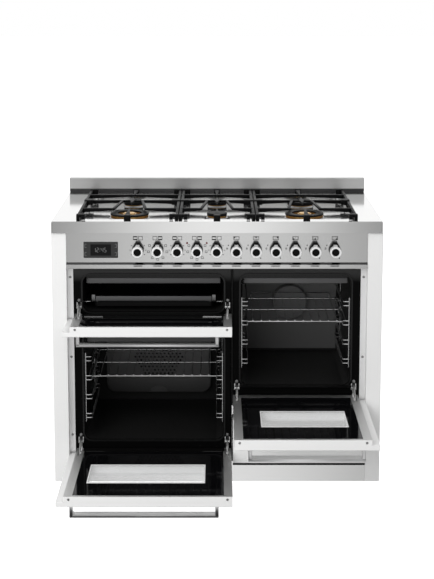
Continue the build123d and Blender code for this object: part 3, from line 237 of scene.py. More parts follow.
# %% Metals
chrome = grained("chrome", 0.86, (0.08, 0.13), 260.0, 0.004, metallic=1.0)
wire_chrome = grained("wire chrome", 0.82, (0.21, 0.29), 260.0, 0.008, metallic=1.0)
zinc = grained("zinc plate", 0.5, (0.3, 0.46), 70.0, 0.01, metallic=1.0)
dull_zinc = grained("dull zinc", 0.42, (0.4, 0.5), 200.0, 0.02, metallic=1.0)
oven_steel = grained("oven steel", 0.06, (0.34, 0.46), 200.0, 0.02, metallic=1.0)
brass = grained("brass", (0.72, 0.45, 0.16), (0.25, 0.36), 400.0, 0.03, metallic=1.0)
knob_silver = grained("knob silver", 0.95, (0.26, 0.34), 500.0, 0.008, metallic=0.35)
cast_iron = grained("cast iron", (0.004, 0.004, 0.0042), (0.34, 0.48), 900.0, 0.1, specular=0.1)
brushed_steel = brushed("brushed steel", (0.72, 0.72, 0.715), (0.17, 0.22), 0.006)
kick_steel = brushed("kick plate steel", (0.86, 0.86, 0.855), (0.17, 0.22), 0.006)
hob_steel = brushed("hob steel", (0.76, 0.76, 0.755), (0.09, 0.12), 0.004)
door_steel = brushed("door frame steel", (0.72, 0.72, 0.715), (0.5, 0.58), 0.006)
guard_steel = brushed("rear upstand steel", (0.97, 0.97, 0.965), (0.43, 0.49), 0.004)
handle_steel = brushed("handle steel", 0.93, (0.27, 0.33), 0.004)
flange_steel = brushed("bright flange", 0.97, (0.27, 0.33), 0.004, metallic=0.6)
print("with the metals:", len(bpy.data.materials))

# %% [markdown]
# At the back of the ovens the colour paints shade towards the floor and light above it,
# and the black frames get a painted highlight near their top edge. A lamp for each
# place could do this, but a colour that rises with the height is simpler.

# %% Paint light and shade into three enamels
FRAME_FADE = 50.0 * MM
COVER_FADE = 160.0 * MM
BACK_FLOOR = 360.0 * MM
frame_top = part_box("front_frames")[1][2]
cover_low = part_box("fan_covers")[0][2]
back_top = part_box("right_cavity")[1][2]
# Painted light and shade: grey near the frames' top edge, dark at the main cover's foot, lighter towards
# the top of the right oven's back.
paint_light_by_height(frame_enamel_painted_highlight, frame_top - FRAME_FADE, frame_top, dark=0.002, light=0.06)
paint_light_by_height(cover_enamel_painted_shade, cover_low, cover_low + COVER_FADE, dark=0.035, light=0.15)
paint_light_by_height(back_sheet_painted_light, BACK_FLOOR, back_top, dark=0.1, light=0.3)
print("finishes:", [m.name for m in bpy.data.materials])

# %% [markdown]
# ## Dress the CAD parts
# Most sheets are already the right shape, so they only need a finish. The clock also
# gets a small edge rounding that catches the light. A Bevel modifier adds it after the
# loose triangles are welded, so the CAD mesh itself stays as it is.

# %% Finishes for the CAD parts
WELD_BELOW = 1e-6
BEVEL_ABOVE = math.radians(40)


def dress(node, material, edge=0.0):
    part = nodes[node]
    part.data.materials.clear()
    part.data.materials.append(material)
    if edge:
        weld = part.modifiers.new("weld", "WELD")
        weld.merge_threshold = WELD_BELOW
        bevel = part.modifiers.new("edge", "BEVEL")
        bevel.width = edge
        bevel.segments = 2
        bevel.limit_method = "ANGLE"
        bevel.angle_limit = BEVEL_ABOVE
        bevel.harden_normals = False


finishes = {
    white_enamel: ["chassis", "side_panels", "drawer_front"] + [f"{door}_door_skin" for door in DOORS],
    brushed_steel: ["control_panel", "panel_trim"],
    kick_steel: ["kick_plate"],
    guard_steel: ["backguard"],
    hob_steel: ["hob_top"],
    frame_enamel_painted_highlight: ["front_frames"],
    black_enamel: ["grill_tray"],
    cavity_enamel: ["grill_cavity", "main_cavity", "right_cavity"],
    door_steel: [f"{door}_door_frame" for door in DOORS],
    zinc: ["rear_cover", "gas_manifold", "fan_motors", "drawer_box", "drawer_runners"],
    oven_steel: ["heating_elements", "main_fan", "right_fan"],
    black_plastic: ["levelling_feet", "oven_switches", "terminal_box"],
    chrome: ["hinge_arms"],
    seal_rubber: ["door_gaskets"],
    porcelain: ["spark_electrodes"],
    red_lens: ["indicator_lamps"],
}
for material, names in finishes.items():
    for name in names:
        dress(name, material)
print("dressed:", sum(len(names) for names in finishes.values()))

# %% [markdown]
# ## Find the places
# Some CAD parts hold several loose bodies, such as the six burner cups. Walking over
# the connected points of the mesh gives the box of each one, so new pieces take their
# places from the CAD and nothing has to be measured again.


# %% Boxes of loose bodies
def loose_boxes(node):
    """The corners of each loose body in a CAD part, from left to right and front to back."""
    bm = bmesh.new()
    bm.from_mesh(nodes[node].data)
    bmesh.ops.remove_doubles(bm, verts=bm.verts, dist=WELD_BELOW)
    boxes = []
    waiting = set(bm.verts)
    while waiting:
        body = {waiting.pop()}
        edge = set(body)
        while edge:
            edge = {e.other_vert(v) for v in edge for e in v.link_edges} - body
            body |= edge
        waiting -= body
        low = Vector(min(v.co[i] for v in body) for i in range(3))
        high = Vector(max(v.co[i] for v in body) for i in range(3))
        boxes.append((low, high))
    bm.free()
    return sorted(boxes, key=lambda b: (round(b[0].x, 3), b[0].y))


cup_boxes = loose_boxes("burner_cups")
print("burners:", len(cup_boxes), "ladders and ledges:", len(loose_boxes("ladder_rails")))

# %% [markdown]
# ## Knobs
# Each knob is a black drop-shaped body with a narrow top, a bright turned ring on
# its front, and a bright neck that slopes back to the pointer's black tip. The drop
# is an outline with a round lower part, drawn out by its thickness. The ring is spun.

# %% Outline helper
DROP_START = math.radians(35)


def drawn_slab(bm, outline, thickness, place, edge=0.0):
    """Draws a flat outline out along its own +Z and puts it in place."""
    base = [bm.verts.new((x, y, 0)) for x, y in outline]
    face = bm.faces.new(base)
    top = bmesh.ops.extrude_face_region(bm, geom=[face])["geom"]
    raised = [v for v in top if isinstance(v, bmesh.types.BMVert)]
    bmesh.ops.translate(bm, vec=(0, 0, thickness), verts=raised)
    verts = base + raised
    faces = list({f for v in verts for f in v.link_faces})
    bmesh.ops.recalc_face_normals(bm, faces=faces)
    bmesh.ops.transform(bm, matrix=place, verts=verts)
    if edge:
        rim = list({e for v in raised for e in v.link_edges if e.other_vert(v) in raised})
        round_off(bm, rim, edge)


def drop_outline(radius, tip, tip_width, steps=28):
    """A circle that is drawn up to a flat tip."""
    sweep = math.pi + 2 * DROP_START
    points = []
    for i in range(steps + 1):
        angle = DROP_START - sweep * i / steps
        points.append((radius * math.cos(angle), radius * math.sin(angle)))
    return points + [(-tip_width / 2, tip), (tip_width / 2, tip)]


print("points in a drop:", len(drop_outline(1.0, 1.5, 0.6)))

# %% Make the eleven knobs
KNOB_COUNT = 11
KNOB_RING = 18.5 * MM
KNOB_DISH = 11.8 * MM
DISH_SHAPE = ((1.0, 1.0), (0.9, 0.8), (0.0, 0.7))
KNOB_BODY = 20.0 * MM
KNOB_EDGE = 1.0 * MM
KNOB_TIP_WIDTH = 13.0 * MM
NECK_WIDTH = 12.6 * MM
NECK_STOP = 7.0 * MM
SLANT = 1.5 * MM


def make_knob(node):
    low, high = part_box(node)
    radius = (high[0] - low[0]) / 2
    axis = Vector((half_way(low, high, 0), high[1], low[2] + radius))
    length = high[1] - low[1]
    tip = high[2] - axis.z
    place = Matrix.Translation(axis) @ FORWARD
    body = bmesh.new()
    drawn_slab(body, drop_outline(radius, tip, KNOB_TIP_WIDTH), KNOB_BODY, place, KNOB_EDGE)
    dish = [(KNOB_DISH * share, length - depth * SLANT) for share, depth in DISH_SHAPE]
    turned(body, dish, place)
    finish_piece(f"{node}_body", body, black_plastic, node, [node])
    bright = bmesh.new()
    ring = [(KNOB_RING - SLANT, KNOB_BODY - SLANT), (KNOB_RING, KNOB_BODY), (KNOB_RING, length - SLANT)]
    ring += [(KNOB_RING - SLANT, length), (KNOB_DISH + SLANT, length), (KNOB_DISH, length - 2 * SLANT)]
    turned(bright, ring, place)
    root, face, stop = SLANT - KNOB_BODY, 2 * SLANT - length, tip - NECK_STOP
    neck = [(root, KNOB_DISH), (root, stop), (-KNOB_BODY - SLANT, stop)]
    neck += [(face, KNOB_RING - SLANT), (face, KNOB_DISH)]
    sideways = Matrix.Rotation(math.radians(90), 4, "Y") @ Matrix.Translation((0, 0, -NECK_WIDTH / 2))
    drawn_slab(bright, neck, NECK_WIDTH, place @ sideways)
    finish_piece(f"{node}_ring", bright, knob_silver, node)


knob_names = [f"knob_{number:02d}" for number in range(1, KNOB_COUNT + 1)]
for name in knob_names:
    make_knob(name)
print("knobs:", len(knob_names))

# %% [markdown]
# ## Burners
# A burner is a cast cup in the hob, a brass ring with flame ports round its side and
# a black enamelled cap. The two large ones have a ring-shaped cap and a small burner
# inside. All of these are turned on a lathe, so a spun outline makes them, and a loop
# sets the ribs between the ports.

# %% Make the burners
CAP_EDGE = 2.0 * MM
FLANGE_LAP = 3.0 * MM
RIB = 2.4 * MM
RADIUS_PER_RIB = 1.0 * MM
LARGE_BURNER = 60.0 * MM
ROUND_STEPS = 64
CUP_SHARE = 0.8
LARGE_BORE = 0.64
SMALL_BORE = 0.3
CROWN_BORE = 0.18
CROWN_EDGE = 0.37
CROWN_RIBS = 24
CROWN_CAP = (0.3, 0.28)
FRONT_SKIRT = 0.6
REAR_SKIRT = 0.3
cap_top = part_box("burner_caps")[1][2]
ring_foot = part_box("burner_rings")[0][2]
ring_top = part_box("burner_rings")[1][2]


def ribbed_ring(bm, centre, inner, outer, low, high, ribs):
    """A brass ring with ribs between its flame ports."""
    place = Matrix.Translation(centre)
    wall = outer - RIB
    turned(bm, [(inner, low), (wall, low), (wall, high), (inner, high), (inner, low)], place, ROUND_STEPS)
    for i in range(ribs):
        turn = place @ Matrix.Rotation(math.tau * i / ribs, 4, "Z")
        verts = bmesh.ops.create_cube(bm, size=1.0)["verts"]
        bmesh.ops.scale(bm, vec=(RIB, RIB, high - low), verts=verts)
        bmesh.ops.translate(bm, vec=(outer - RIB / 2, 0, (low + high) / 2), verts=verts)
        bmesh.ops.transform(bm, matrix=turn, verts=verts)


def make_burners():
    cups, rings, caps = bmesh.new(), bmesh.new(), bmesh.new()
    middle_row = sum(low.y for low, high in cup_boxes) / len(cup_boxes)
    for low, high in cup_boxes:
        centre = Vector((half_way(low, high, 0), half_way(low, high, 1), 0))
        place = Matrix.Translation(centre)
        flange = (high.x - low.x) / 2
        radius = flange - FLANGE_LAP
        large = radius > LARGE_BURNER
        under = high.z - FLANGE_LAP
        dish = [(flange * CUP_SHARE, low.z), (flange * CUP_SHARE, under), (flange, under)]
        dish += [(flange, high.z - CAP_EDGE), (flange - CAP_EDGE, high.z), (0, high.z)]
        turned(cups, dish, place, ROUND_STEPS)
        bore = radius * (LARGE_BORE if large else SMALL_BORE)
        reach = REAR_SKIRT if low.y > middle_row else FRONT_SKIRT
        skirt = ring_top if large else ring_foot + reach * (ring_top - ring_foot)
        ribs = int(radius / RADIUS_PER_RIB)
        ribbed_ring(rings, centre, bore, radius - CAP_EDGE, ring_foot, skirt, ribs)
        cap = [(radius, skirt), (radius, cap_top - CAP_EDGE), (radius - CAP_EDGE, cap_top)]
        if large:
            cap += [(bore + CAP_EDGE, cap_top), (bore, cap_top - CAP_EDGE), (bore, ring_top)]
            turned(caps, cap + cap[:1], place, ROUND_STEPS)
            crown = ring_top + CAP_EDGE
            ribbed_ring(
                rings, centre, CROWN_BORE * radius, CROWN_EDGE * radius, ring_foot, crown, CROWN_RIBS
            )
            small = [(CROWN_CAP[0] * radius, crown), (CROWN_CAP[1] * radius, cap_top - CAP_EDGE / 2)]
            turned(rings, small + [(0, cap_top - CAP_EDGE / 4)], place)
        else:
            turned(caps, cap + [(0, cap_top), (0, skirt), (radius, skirt)], place, ROUND_STEPS)
    finish_piece("burner_cups", cups, zinc, "cooker", ["burner_cups"])
    finish_piece("brass_flame_rings", rings, brass, "cooker", ["burner_rings"])
    finish_piece("burner_caps", caps, burner_cap_enamel, "cooker", ["burner_caps"])


make_burners()
print("burners made:", len(cup_boxes))

# %% [markdown]
# ## Oven wires
# Shelves and side ladders are bent from round chromed wire. A poly curve with rounded
# corners and a bevel is the same thing in Blender: a path with a thickness. It is
# turned into a mesh and added to the piece. Straight wires are plain round bars.


# %% Wire helper
def rounded_path(points, bend, steps=4):
    """The points of a path with its corners rounded."""
    points = [Vector(p) for p in points]
    path = [points[0]]
    for before, corner, after in zip(points, points[1:], points[2:]):
        start = corner + (before - corner).normalized() * bend
        end = corner + (after - corner).normalized() * bend
        for i in range(steps + 1):
            t = i / steps
            path.append(start * (1 - t) ** 2 + corner * 2 * t * (1 - t) + end * t**2)
    return path + [points[-1]]


def bent_wire(bm, points, radius, bend):
    """Adds a round wire along a path."""
    path = rounded_path(points, bend)
    curve = bpy.data.curves.new("wire", "CURVE")
    curve.dimensions = "3D"
    curve.bevel_depth = radius
    curve.bevel_resolution = 2
    curve.use_fill_caps = True
    spline = curve.splines.new("POLY")
    spline.points.add(len(path) - 1)
    for target, place in zip(spline.points, path):
        target.co = (*place, 1.0)
    holder = bpy.data.objects.new("wire", curve)
    mesh = bpy.data.meshes.new_from_object(holder)
    bm.from_mesh(mesh)
    bpy.data.objects.remove(holder)
    bpy.data.curves.remove(curve)
    bpy.data.meshes.remove(mesh)


print("points in a bent corner:", len(rounded_path([(0, 0, 0), (1, 0, 0), (1, 1, 0)], 0.1)))

# %% Make the racks and ladders
RACK_BAR = 3.0 * MM
RACK_BEND = 12.0 * MM
RACK_WIRE = 2.2 * MM
RACK_PITCH = 28.5 * MM
RAIL_BEND = 9.0 * MM
LADDER_WIRE = 2.4 * MM
LEDGE_HEIGHT = 20.0 * MM
LEDGE_EDGE = 1.0 * MM
SHELF_COUNT = 4
RUNG = 20.0 * MM
RUNG_BEND = 4.0 * MM
RUNG_GAP = 14.0 * MM


def make_rack(node):
    low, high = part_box(node)
    bm = bmesh.new()
    z = low[2] + RACK_BAR
    left, right = low[0] + RACK_BAR, high[0] - RACK_BAR
    front, back = low[1] + RACK_BAR, high[1] - RACK_BAR
    outline = [(left, back, z), (left, front, z), (right, front, z), (right, back, z)]
    bent_wire(bm, outline, RACK_BAR, RACK_BEND)
    rear = back - RACK_BAR
    for y in ((front + back) / 2, rear):
        round_bar(bm, (left, y, z), (right, y, z), RACK_WIRE)
    count = int((right - left) / RACK_PITCH) - 1
    first = (left + right) / 2 - RACK_PITCH * (count - 1) / 2
    last = first + RACK_PITCH * (count - 1)
    for i in range(count):
        x = first + RACK_PITCH * i
        round_bar(bm, (x, front, z + RACK_BAR), (x, back, z + RACK_BAR), RACK_WIRE)
    top = high[2] - RACK_WIRE
    rail = [(first, rear, z), (first, rear, top), (last, rear, top), (last, rear, z)]
    bent_wire(bm, rail, RACK_WIRE, RAIL_BEND)
    finish_piece(f"{node}_wires", bm, wire_chrome, node, [node])


def make_ladders():
    bm = bmesh.new()
    middles = [half_way(*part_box(rack), 0) for rack in ("main_rack", "right_rack")]
    for low, high in loose_boxes("ladder_rails"):
        if high.z - low.z < LEDGE_HEIGHT:
            rounded_block(bm, low, high, LEDGE_EDGE)
            continue
        nearest = min(middles, key=lambda x: abs(x - low.x))
        inward = 1 if low.x < nearest else -1
        rod = low.x + LADDER_WIRE if inward > 0 else high.x - LADDER_WIRE
        end = rod + inward * RUNG
        front, back = low.y + LADDER_WIRE, high.y - LADDER_WIRE
        pitch = (high.z - low.z - 3 * RUNG_GAP) / (SHELF_COUNT - 1)
        for y in (front, back):
            round_bar(bm, (rod, y, low.z), (rod, y, high.z), LADDER_WIRE)
        for step in range(2 * SHELF_COUNT):
            z = low.z + RUNG_GAP * (1 + step % 2) + pitch * (step // 2)
            rung = [(rod, front, z), (end, front, z), (end, back, z), (rod, back, z)]
            bent_wire(bm, rung, LADDER_WIRE, RUNG_BEND)
    finish_piece("side_ladders", bm, wire_chrome, "cooker", ["ladder_rails"])


make_rack("main_rack")
make_rack("right_rack")
make_ladders()
print("racks and ladders made")

# %% [markdown]
# ## Fan covers
# The sheet in front of the main fan has fine round holes in a hexagonal field. On the
# real cover they are punched. Here a Boolean modifier does the punching: one cutter
# holds all the holes, and the result is read back as a mesh. The right fan has a plain
# round cover on a back sheet. The main cover's colour paints shade towards its foot,
# and the colour of the right cover and its back sheet paints light towards the top.

# %% Punch a field of holes
HOLE = 4.0 * MM
HOLE_SIDES = 10
HOLE_PITCH = 14.3 * MM
ROW_PITCH = HOLE_PITCH * math.sqrt(0.75)
SHEET = 1.2 * MM
CUT_REACH = 6 * SHEET


def hexagonal_places(radius):
    rows = int(radius / ROW_PITCH)
    for row in range(-rows, rows + 1):
        for column in range(-rows - 1, rows + 2):
            x = HOLE_PITCH * (column + (row % 2) / 2)
            z = ROW_PITCH * row
            if math.hypot(x, z) <= radius:
                yield x, z


def punched(bm, centre, radius):
    """Returns the mesh with a field of round holes punched through its front sheet."""
    cutter = bmesh.new()
    reach = Vector((0, CUT_REACH, 0))
    for x, z in hexagonal_places(radius):
        middle = Vector(centre) + Vector((x, 0, z))
        round_bar(cutter, middle - reach, middle + reach, HOLE, HOLE_SIDES)
    holders = []
    for name, source in (("cover", bm), ("cutter", cutter)):
        mesh = bpy.data.meshes.new(name)
        source.to_mesh(mesh)
        source.free()
        holder = bpy.data.objects.new(name, mesh)
        bpy.context.scene.collection.objects.link(holder)
        holders.append(holder)
    cut = holders[0].modifiers.new("punch", "BOOLEAN")
    cut.operation = "DIFFERENCE"
    cut.object = holders[1]
    graph = bpy.context.evaluated_depsgraph_get()
    result = bmesh.new()
    result.from_mesh(holders[0].evaluated_get(graph).to_mesh())
    for holder in holders:
        bpy.data.objects.remove(holder)
    return result


MAIN_FIELD = 86.0 * MM
print("holes in the main field:", len(list(hexagonal_places(MAIN_FIELD))))

# %% Make the fan covers
FIELD_DROP = 16.0 * MM
MAIN_CORNER = 35.0 * MM
RIGHT_CORNER = 61.0 * MM
CORNER_STEPS = 10
COVER_RIM = 4.0 * MM
RIM_STEPS = 3
FACES_BACK = 0.9
COVER_FOOT = 31.0 * MM
ARCH_ANGLES = range(0, 181, 10)
FOOT_FLAT = 0.75
FOOT_RISE = 2.0 * MM
FOOT_EDGE = 0.8 * MM
BACK_SIDE = 14.0 * MM
BACK_END = 10.0 * MM
BACK_DEPTH = (2.6 * MM, 1.6 * MM)
SAME = 1e-5
cover_boxes = sorted(loose_boxes("fan_covers"), key=lambda b: b[0].x)
foot_enamel = plain_finish("cover foot", 0.05, 0.45, specular=0.2)


def make_right_back():
    """A sheet lines the back of the right oven, behind its round cover; its colour paints light that
    rises towards the top.
    """
    low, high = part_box("right_cavity")
    start = (low[0] + BACK_SIDE, high[1] - BACK_DEPTH[0], low[2] + BACK_END)
    end = (high[0] - BACK_SIDE, high[1] - BACK_DEPTH[1], high[2] - BACK_END)
    block_piece("right_oven_back_sheet", start, end, 0, back_sheet_painted_light)


def make_cover_foot():
    """A low arch at the foot of the main cover."""
    low, high = cover_boxes[0]
    turns = [math.radians(angle) for angle in ARCH_ANGLES]
    arc = [(COVER_FOOT * math.cos(t), COVER_FOOT * FOOT_FLAT * math.sin(t)) for t in turns]
    place = Matrix.Translation((half_way(low, high, 0), low.y, low.z + FOOT_RISE)) @ FORWARD
    bm = bmesh.new()
    drawn_slab(bm, arc, SHEET, place, FOOT_EDGE)
    finish_piece("main_cover_foot", bm, foot_enamel, "cooker")


def make_fan_covers():
    # Both cover finishes carry painted light and shade in their colour.
    kinds = (("main", MAIN_CORNER, MAIN_FIELD, cover_enamel_painted_shade), ("right", RIGHT_CORNER, 0, back_sheet_painted_light))
    for (low, high), (oven, corner, field, enamel) in zip(cover_boxes, kinds):
        shell = bmesh.new()
        rounded_block(shell, low, high)
        along = [e for e in shell.edges if abs(e.verts[0].co.y - e.verts[1].co.y) > SAME]
        round_off(shell, along, corner, CORNER_STEPS)
        rim = [e for e in shell.edges if all(abs(v.co.y - low.y) < SAME for v in e.verts)]
        round_off(shell, rim, COVER_RIM, RIM_STEPS)
        back = [f for f in shell.faces if f.normal.y > FACES_BACK]
        bmesh.ops.delete(shell, geom=back, context="FACES")
        bmesh.ops.solidify(shell, geom=list(shell.faces), thickness=SHEET)
        if field:
            centre = (half_way(low, high, 0), low.y, half_way(low, high, 2) - FIELD_DROP)
            shell = punched(shell, centre, field)
        finish_piece(f"{oven}_fan_cover", shell, enamel, "cooker", ["fan_covers"])


make_right_back()
make_cover_foot()
make_fan_covers()

# %% [markdown]
# ## Door glass
# The inner pane of each door is black round its edge, where it is printed, and clear
# at the window. The print is a thin black sheet with the window left out, built from
# four strips, and a clear pane fills the middle. A white liner closes the space
# between the panes. The upper door has no window.

# %% Make the panes
WINDOW_LAP = 12.0 * MM
LINER = 1.0 * MM
LINER_RISE = 0.3 * MM
EDGE_SIDE = 3.0 * MM
EDGE_END = 9.0 * MM
EDGE_PROUD = 0.2 * MM
PANE = 1.0 * MM
PANE_EDGE = 0.4 * MM
window_white = plain_finish("window edge", 0.9, 0.25)


def grown(area, side, end):
    """An area of (left, right, front, back), grown at its sides and its ends."""
    return area[0] - side, area[1] + side, area[2] - end, area[3] + end


def four_sides(bm, outer, inner, z):
    """A flat frame from four strips. Outer and inner are (left, right, front, back)."""
    rounded_block(bm, (outer[0], outer[2], z[0]), (inner[0], outer[3], z[1]))
    rounded_block(bm, (inner[1], outer[2], z[0]), (outer[1], outer[3], z[1]))
    rounded_block(bm, (inner[0], outer[2], z[0]), (inner[1], inner[2], z[1]))
    rounded_block(bm, (inner[0], inner[3], z[0]), (inner[1], outer[3], z[1]))


def make_door_glass(door):
    node, body = f"{door}_door_glass", f"{door}_door"
    panes = sorted(loose_boxes(node), key=lambda b: b[1].z)
    low, high = panes[-1]
    if len(panes) == 1:
        bm = bmesh.new()
        rounded_block(bm, low, high, PANE_EDGE)
        finish_piece(f"{door}_door_pane", bm, black_glass, body, [node])
        return
    outer_low, outer_high = panes[0]
    opening = (outer_low.x, outer_high.x, outer_low.y, outer_high.y)
    window = grown(opening, -WINDOW_LAP, -WINDOW_LAP)
    border = bmesh.new()
    four_sides(border, (low.x, high.x, low.y, high.y), window, (low.z, high.z))
    finish_piece(f"{door}_door_printed_border", border, black_glass, body, [node])
    clear = bmesh.new()
    top = high.z - EDGE_PROUD
    rounded_block(clear, (window[0], window[2], high.z - PANE), (window[1], window[3], top))
    rounded_block(clear, outer_low, outer_high)
    finish_piece(f"{door}_door_window", clear, clear_glass, body)
    liner = bmesh.new()
    four_sides(liner, grown(window, LINER, LINER), window, (outer_low.z + LINER_RISE, low.z))
    four_sides(liner, window, grown(window, -EDGE_SIDE, -EDGE_END), (top, high.z + EDGE_PROUD))
    finish_piece(f"{door}_window_liner", liner, window_white, body)


for door in DOORS:
    make_door_glass(door)

# %% [markdown]
# ## Clock and printing
# The clock is a dark glass plate with a darker screen, grey digits and four bracket
# marks for its touch keys. The marks on the steel panel are printed, so they are very
# thin slabs that stand a hair proud of the sheet. Text could make the digits, but a
# display has seven strokes, so bars make them.

# %% Helpers for printing
INK = 0.25 * MM
STROKES = {"1": "bc", "2": "abged", "4": "fgbc", "5": "afgcd"}


def flat_bar(bm, x, z, y):
    """A thin printed bar between two X and two Z values, on a face at Y."""
    rounded_block(bm, (x[0], y - INK, z[0]), (x[1], y + INK, z[1]))


def flat_patch(bm, centre, half, y):
    """A thin printed bar about its centre. Half gives its half width and half height."""
    x, z = ((middle - reach, middle + reach) for middle, reach in zip(centre, half))
    flat_bar(bm, x, z, y)


def frame_mark(bm, centre, size, line, y):
    """A printed rectangle drawn with a line."""
    left, right = centre[0] - size[0] / 2, centre[0] + size[0] / 2
    low, high = centre[1] - size[1] / 2, centre[1] + size[1] / 2
    flat_bar(bm, (left, right), (low, low + line), y)
    flat_bar(bm, (left, right), (high - line, high), y)
    flat_bar(bm, (left, left + line), (low, high), y)
    flat_bar(bm, (right - line, right), (low, high), y)


def segment_digit(bm, digit, centre, size, line, y):
    """A digit from the seven strokes of a display."""
    half_x, half_z = size[0] / 2, size[1] / 2
    x, z = centre
    across = {"a": half_z, "g": 0.0, "d": -half_z}
    upright = {"b": (half_x, half_z), "c": (half_x, -half_z)}
    upright |= {"f": (-half_x, half_z), "e": (-half_x, -half_z)}
    for stroke in STROKES[digit]:
        if stroke in across:
            flat_patch(bm, (x, z + across[stroke]), (half_x - line, line / 2), y)
        else:
            side, end = upright[stroke]
            flat_patch(bm, (x + side, z + end / 2), (line / 2, (half_z - line) / 2), y)


print("digits that can be drawn:", list(STROKES))

# %% Make the clock
SCREEN = (34.0 * MM, 19.0 * MM)
DIGIT = (6.4 * MM, 14.0 * MM)
DIGIT_LINE = 1.1 * MM
DIGIT_PLACES = {-20.5 * MM: "1", -10.5 * MM: "2", 4.5 * MM: "4", 14.5 * MM: "5"}
COLON = (-3.0 * MM, 3.0 * MM)
COLON_DOT = (0.8 * MM, 0.8 * MM)
KEY_PLACE = (49.0 * MM, 14.0 * MM)
KEY_HALF = 5.0 * MM
KEY_LINE = 1.2 * MM
KEY_EDGE = 4.2 * MM
KEY_ARM = 2.0 * MM
CLOCK_EDGE = 0.6 * MM
screen_glass = plain_finish("clock screen glass", 0.008, 0.2, specular=0.1)
display_ink = plain_finish("display digits", 0.24, 0.5, specular=0.1)
clock_mark_ink = plain_finish("clock key ink", 0.16, 0.5, specular=0.1)
clock_face = plain_finish("clock face", 0.035, 0.22, specular=0.15)


def display_time(middle, y):
    bm = bmesh.new()
    for x, digit in DIGIT_PLACES.items():
        segment_digit(bm, digit, (middle[0] + x, middle[1]), DIGIT, DIGIT_LINE, y)
    for rise in (-COLON[1], COLON[1]):
        flat_patch(bm, (middle[0] + COLON[0], middle[1] + rise), COLON_DOT, y)
    return bm


def key_mark(bm, x, z, side, y):
    """A bracket that opens towards the screen."""
    edge = x + side * KEY_EDGE
    flat_bar(bm, sorted((edge - side * KEY_LINE, edge)), (z - KEY_HALF, z + KEY_HALF), y)
    arm = sorted((x - side * KEY_ARM, edge))
    flat_bar(bm, arm, (z - KEY_HALF - KEY_LINE, z - KEY_HALF), y)
    flat_bar(bm, arm, (z + KEY_HALF, z + KEY_HALF + KEY_LINE), y)


def make_clock():
    low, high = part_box("clock_module")
    middle = (half_way(low, high, 0), half_way(low, high, 2))
    face = low[1]
    screen = bmesh.new()
    flat_patch(screen, middle, SCREEN, face)
    finish_piece("clock_screen", screen, screen_glass, "cooker")
    finish_piece("clock_digits", display_time(middle, face - INK), display_ink, "cooker")
    marks = bmesh.new()
    for side in (-1, 1):
        for rise in (-KEY_PLACE[1], KEY_PLACE[1]):
            key_mark(marks, middle[0] + side * KEY_PLACE[0], middle[1] + rise, side, face)
    finish_piece("clock_key_marks", marks, clock_mark_ink, "cooker")


dress("clock_module", clock_face, CLOCK_EDGE)
make_clock()
print("clock made")

# %% [markdown]
# Above each oven knob two small frames show which oven it serves, and above each gas
# knob a wider frame with six dots shows its burner. Ticks or small frames stand round
# each oven knob, and flame marks beside each gas knob.

# %% Helpers for the panel marks
MARK_RISE = 40.5 * MM
FRAME_LINE = 1.4 * MM
OVEN_FRAME = (14.5 * MM, 13.0 * MM)
OVEN_SIDE = 8.6 * MM
OVEN_BAR = 7.0 * MM
OVEN_BAND = (3.0 * MM, 6.5 * MM)
BURNER_FRAME = (20.0 * MM, 12.0 * MM)
BURNER_DOTS = (5.8 * MM, 5.0 * MM)
DOT = 0.9 * MM
DOT_SERVED = 2.2 * MM


def oven_marks(bm, x, z, y, served):
    for i, side in enumerate((-1, 1)):
        centre = (x + side * OVEN_SIDE, z)
        frame_mark(bm, centre, OVEN_FRAME, FRAME_LINE, y)
        if i == served:
            across = (centre[0] - OVEN_BAR, centre[0] + OVEN_BAR)
            flat_bar(bm, across, (z - OVEN_BAND[1], z - OVEN_BAND[0]), y)
            flat_bar(bm, across, (z + OVEN_BAND[0], z + OVEN_BAND[1]), y)


def burner_marks(bm, x, z, y, served):
    frame_mark(bm, (x, z), BURNER_FRAME, FRAME_LINE, y)
    for i in range(6):
        dot = (x + (i % 3 - 1) * BURNER_DOTS[0], z + (0.5 - i // 3) * BURNER_DOTS[1])
        size = DOT_SERVED if i == served else DOT
        flat_patch(bm, dot, (size, size), y)


def around(x, z, radius, angles):
    for angle in angles:
        turn = math.radians(angle)
        yield x + radius * math.sin(turn), z + radius * math.cos(turn)


print("marks stand", MARK_RISE, "above each knob")

# %% Print the panel marks
OVEN_KNOBS = 5
SYMBOL_KNOBS = (1, 3)
TICK_RING = 26.0 * MM
TICK_TURNS = (-125, -90, -55, 55, 90, 125, 180)
TICK = (2.2 * MM, 0.9 * MM)
SYMBOL_RING = 31.0 * MM
SYMBOL_TURNS = (-145, -100, -60, 60, 100, 145, 180)
SYMBOL = (8.0 * MM, 7.5 * MM)
SYMBOL_LINE = 1.3 * MM
OFF_TURN = (-80,)
OFF_MARK = (5.0 * MM, 6.0 * MM)
FLAME_TURNS = (-58, 150)
FLAME = (1.6 * MM, 2.0 * MM)
print_ink = plain_finish("print ink", 0.004, 0.6, specular=0.05)


def ring_marks(bm, x, z, y, symbols):
    """Small frames or short ticks round an oven knob."""
    if symbols:
        for centre in around(x, z, SYMBOL_RING, SYMBOL_TURNS):
            frame_mark(bm, centre, SYMBOL, SYMBOL_LINE, y)
    else:
        for centre in around(x, z, TICK_RING, TICK_TURNS):
            flat_patch(bm, centre, TICK, y)


def flame_marks(bm, x, z, y):
    """Off, full flame and low flame beside a gas knob."""
    for centre in around(x, z, SYMBOL_RING, OFF_TURN):
        frame_mark(bm, centre, OFF_MARK, FRAME_LINE, y)
    for centre in around(x, z, SYMBOL_RING, FLAME_TURNS):
        flat_patch(bm, centre, FLAME, y)


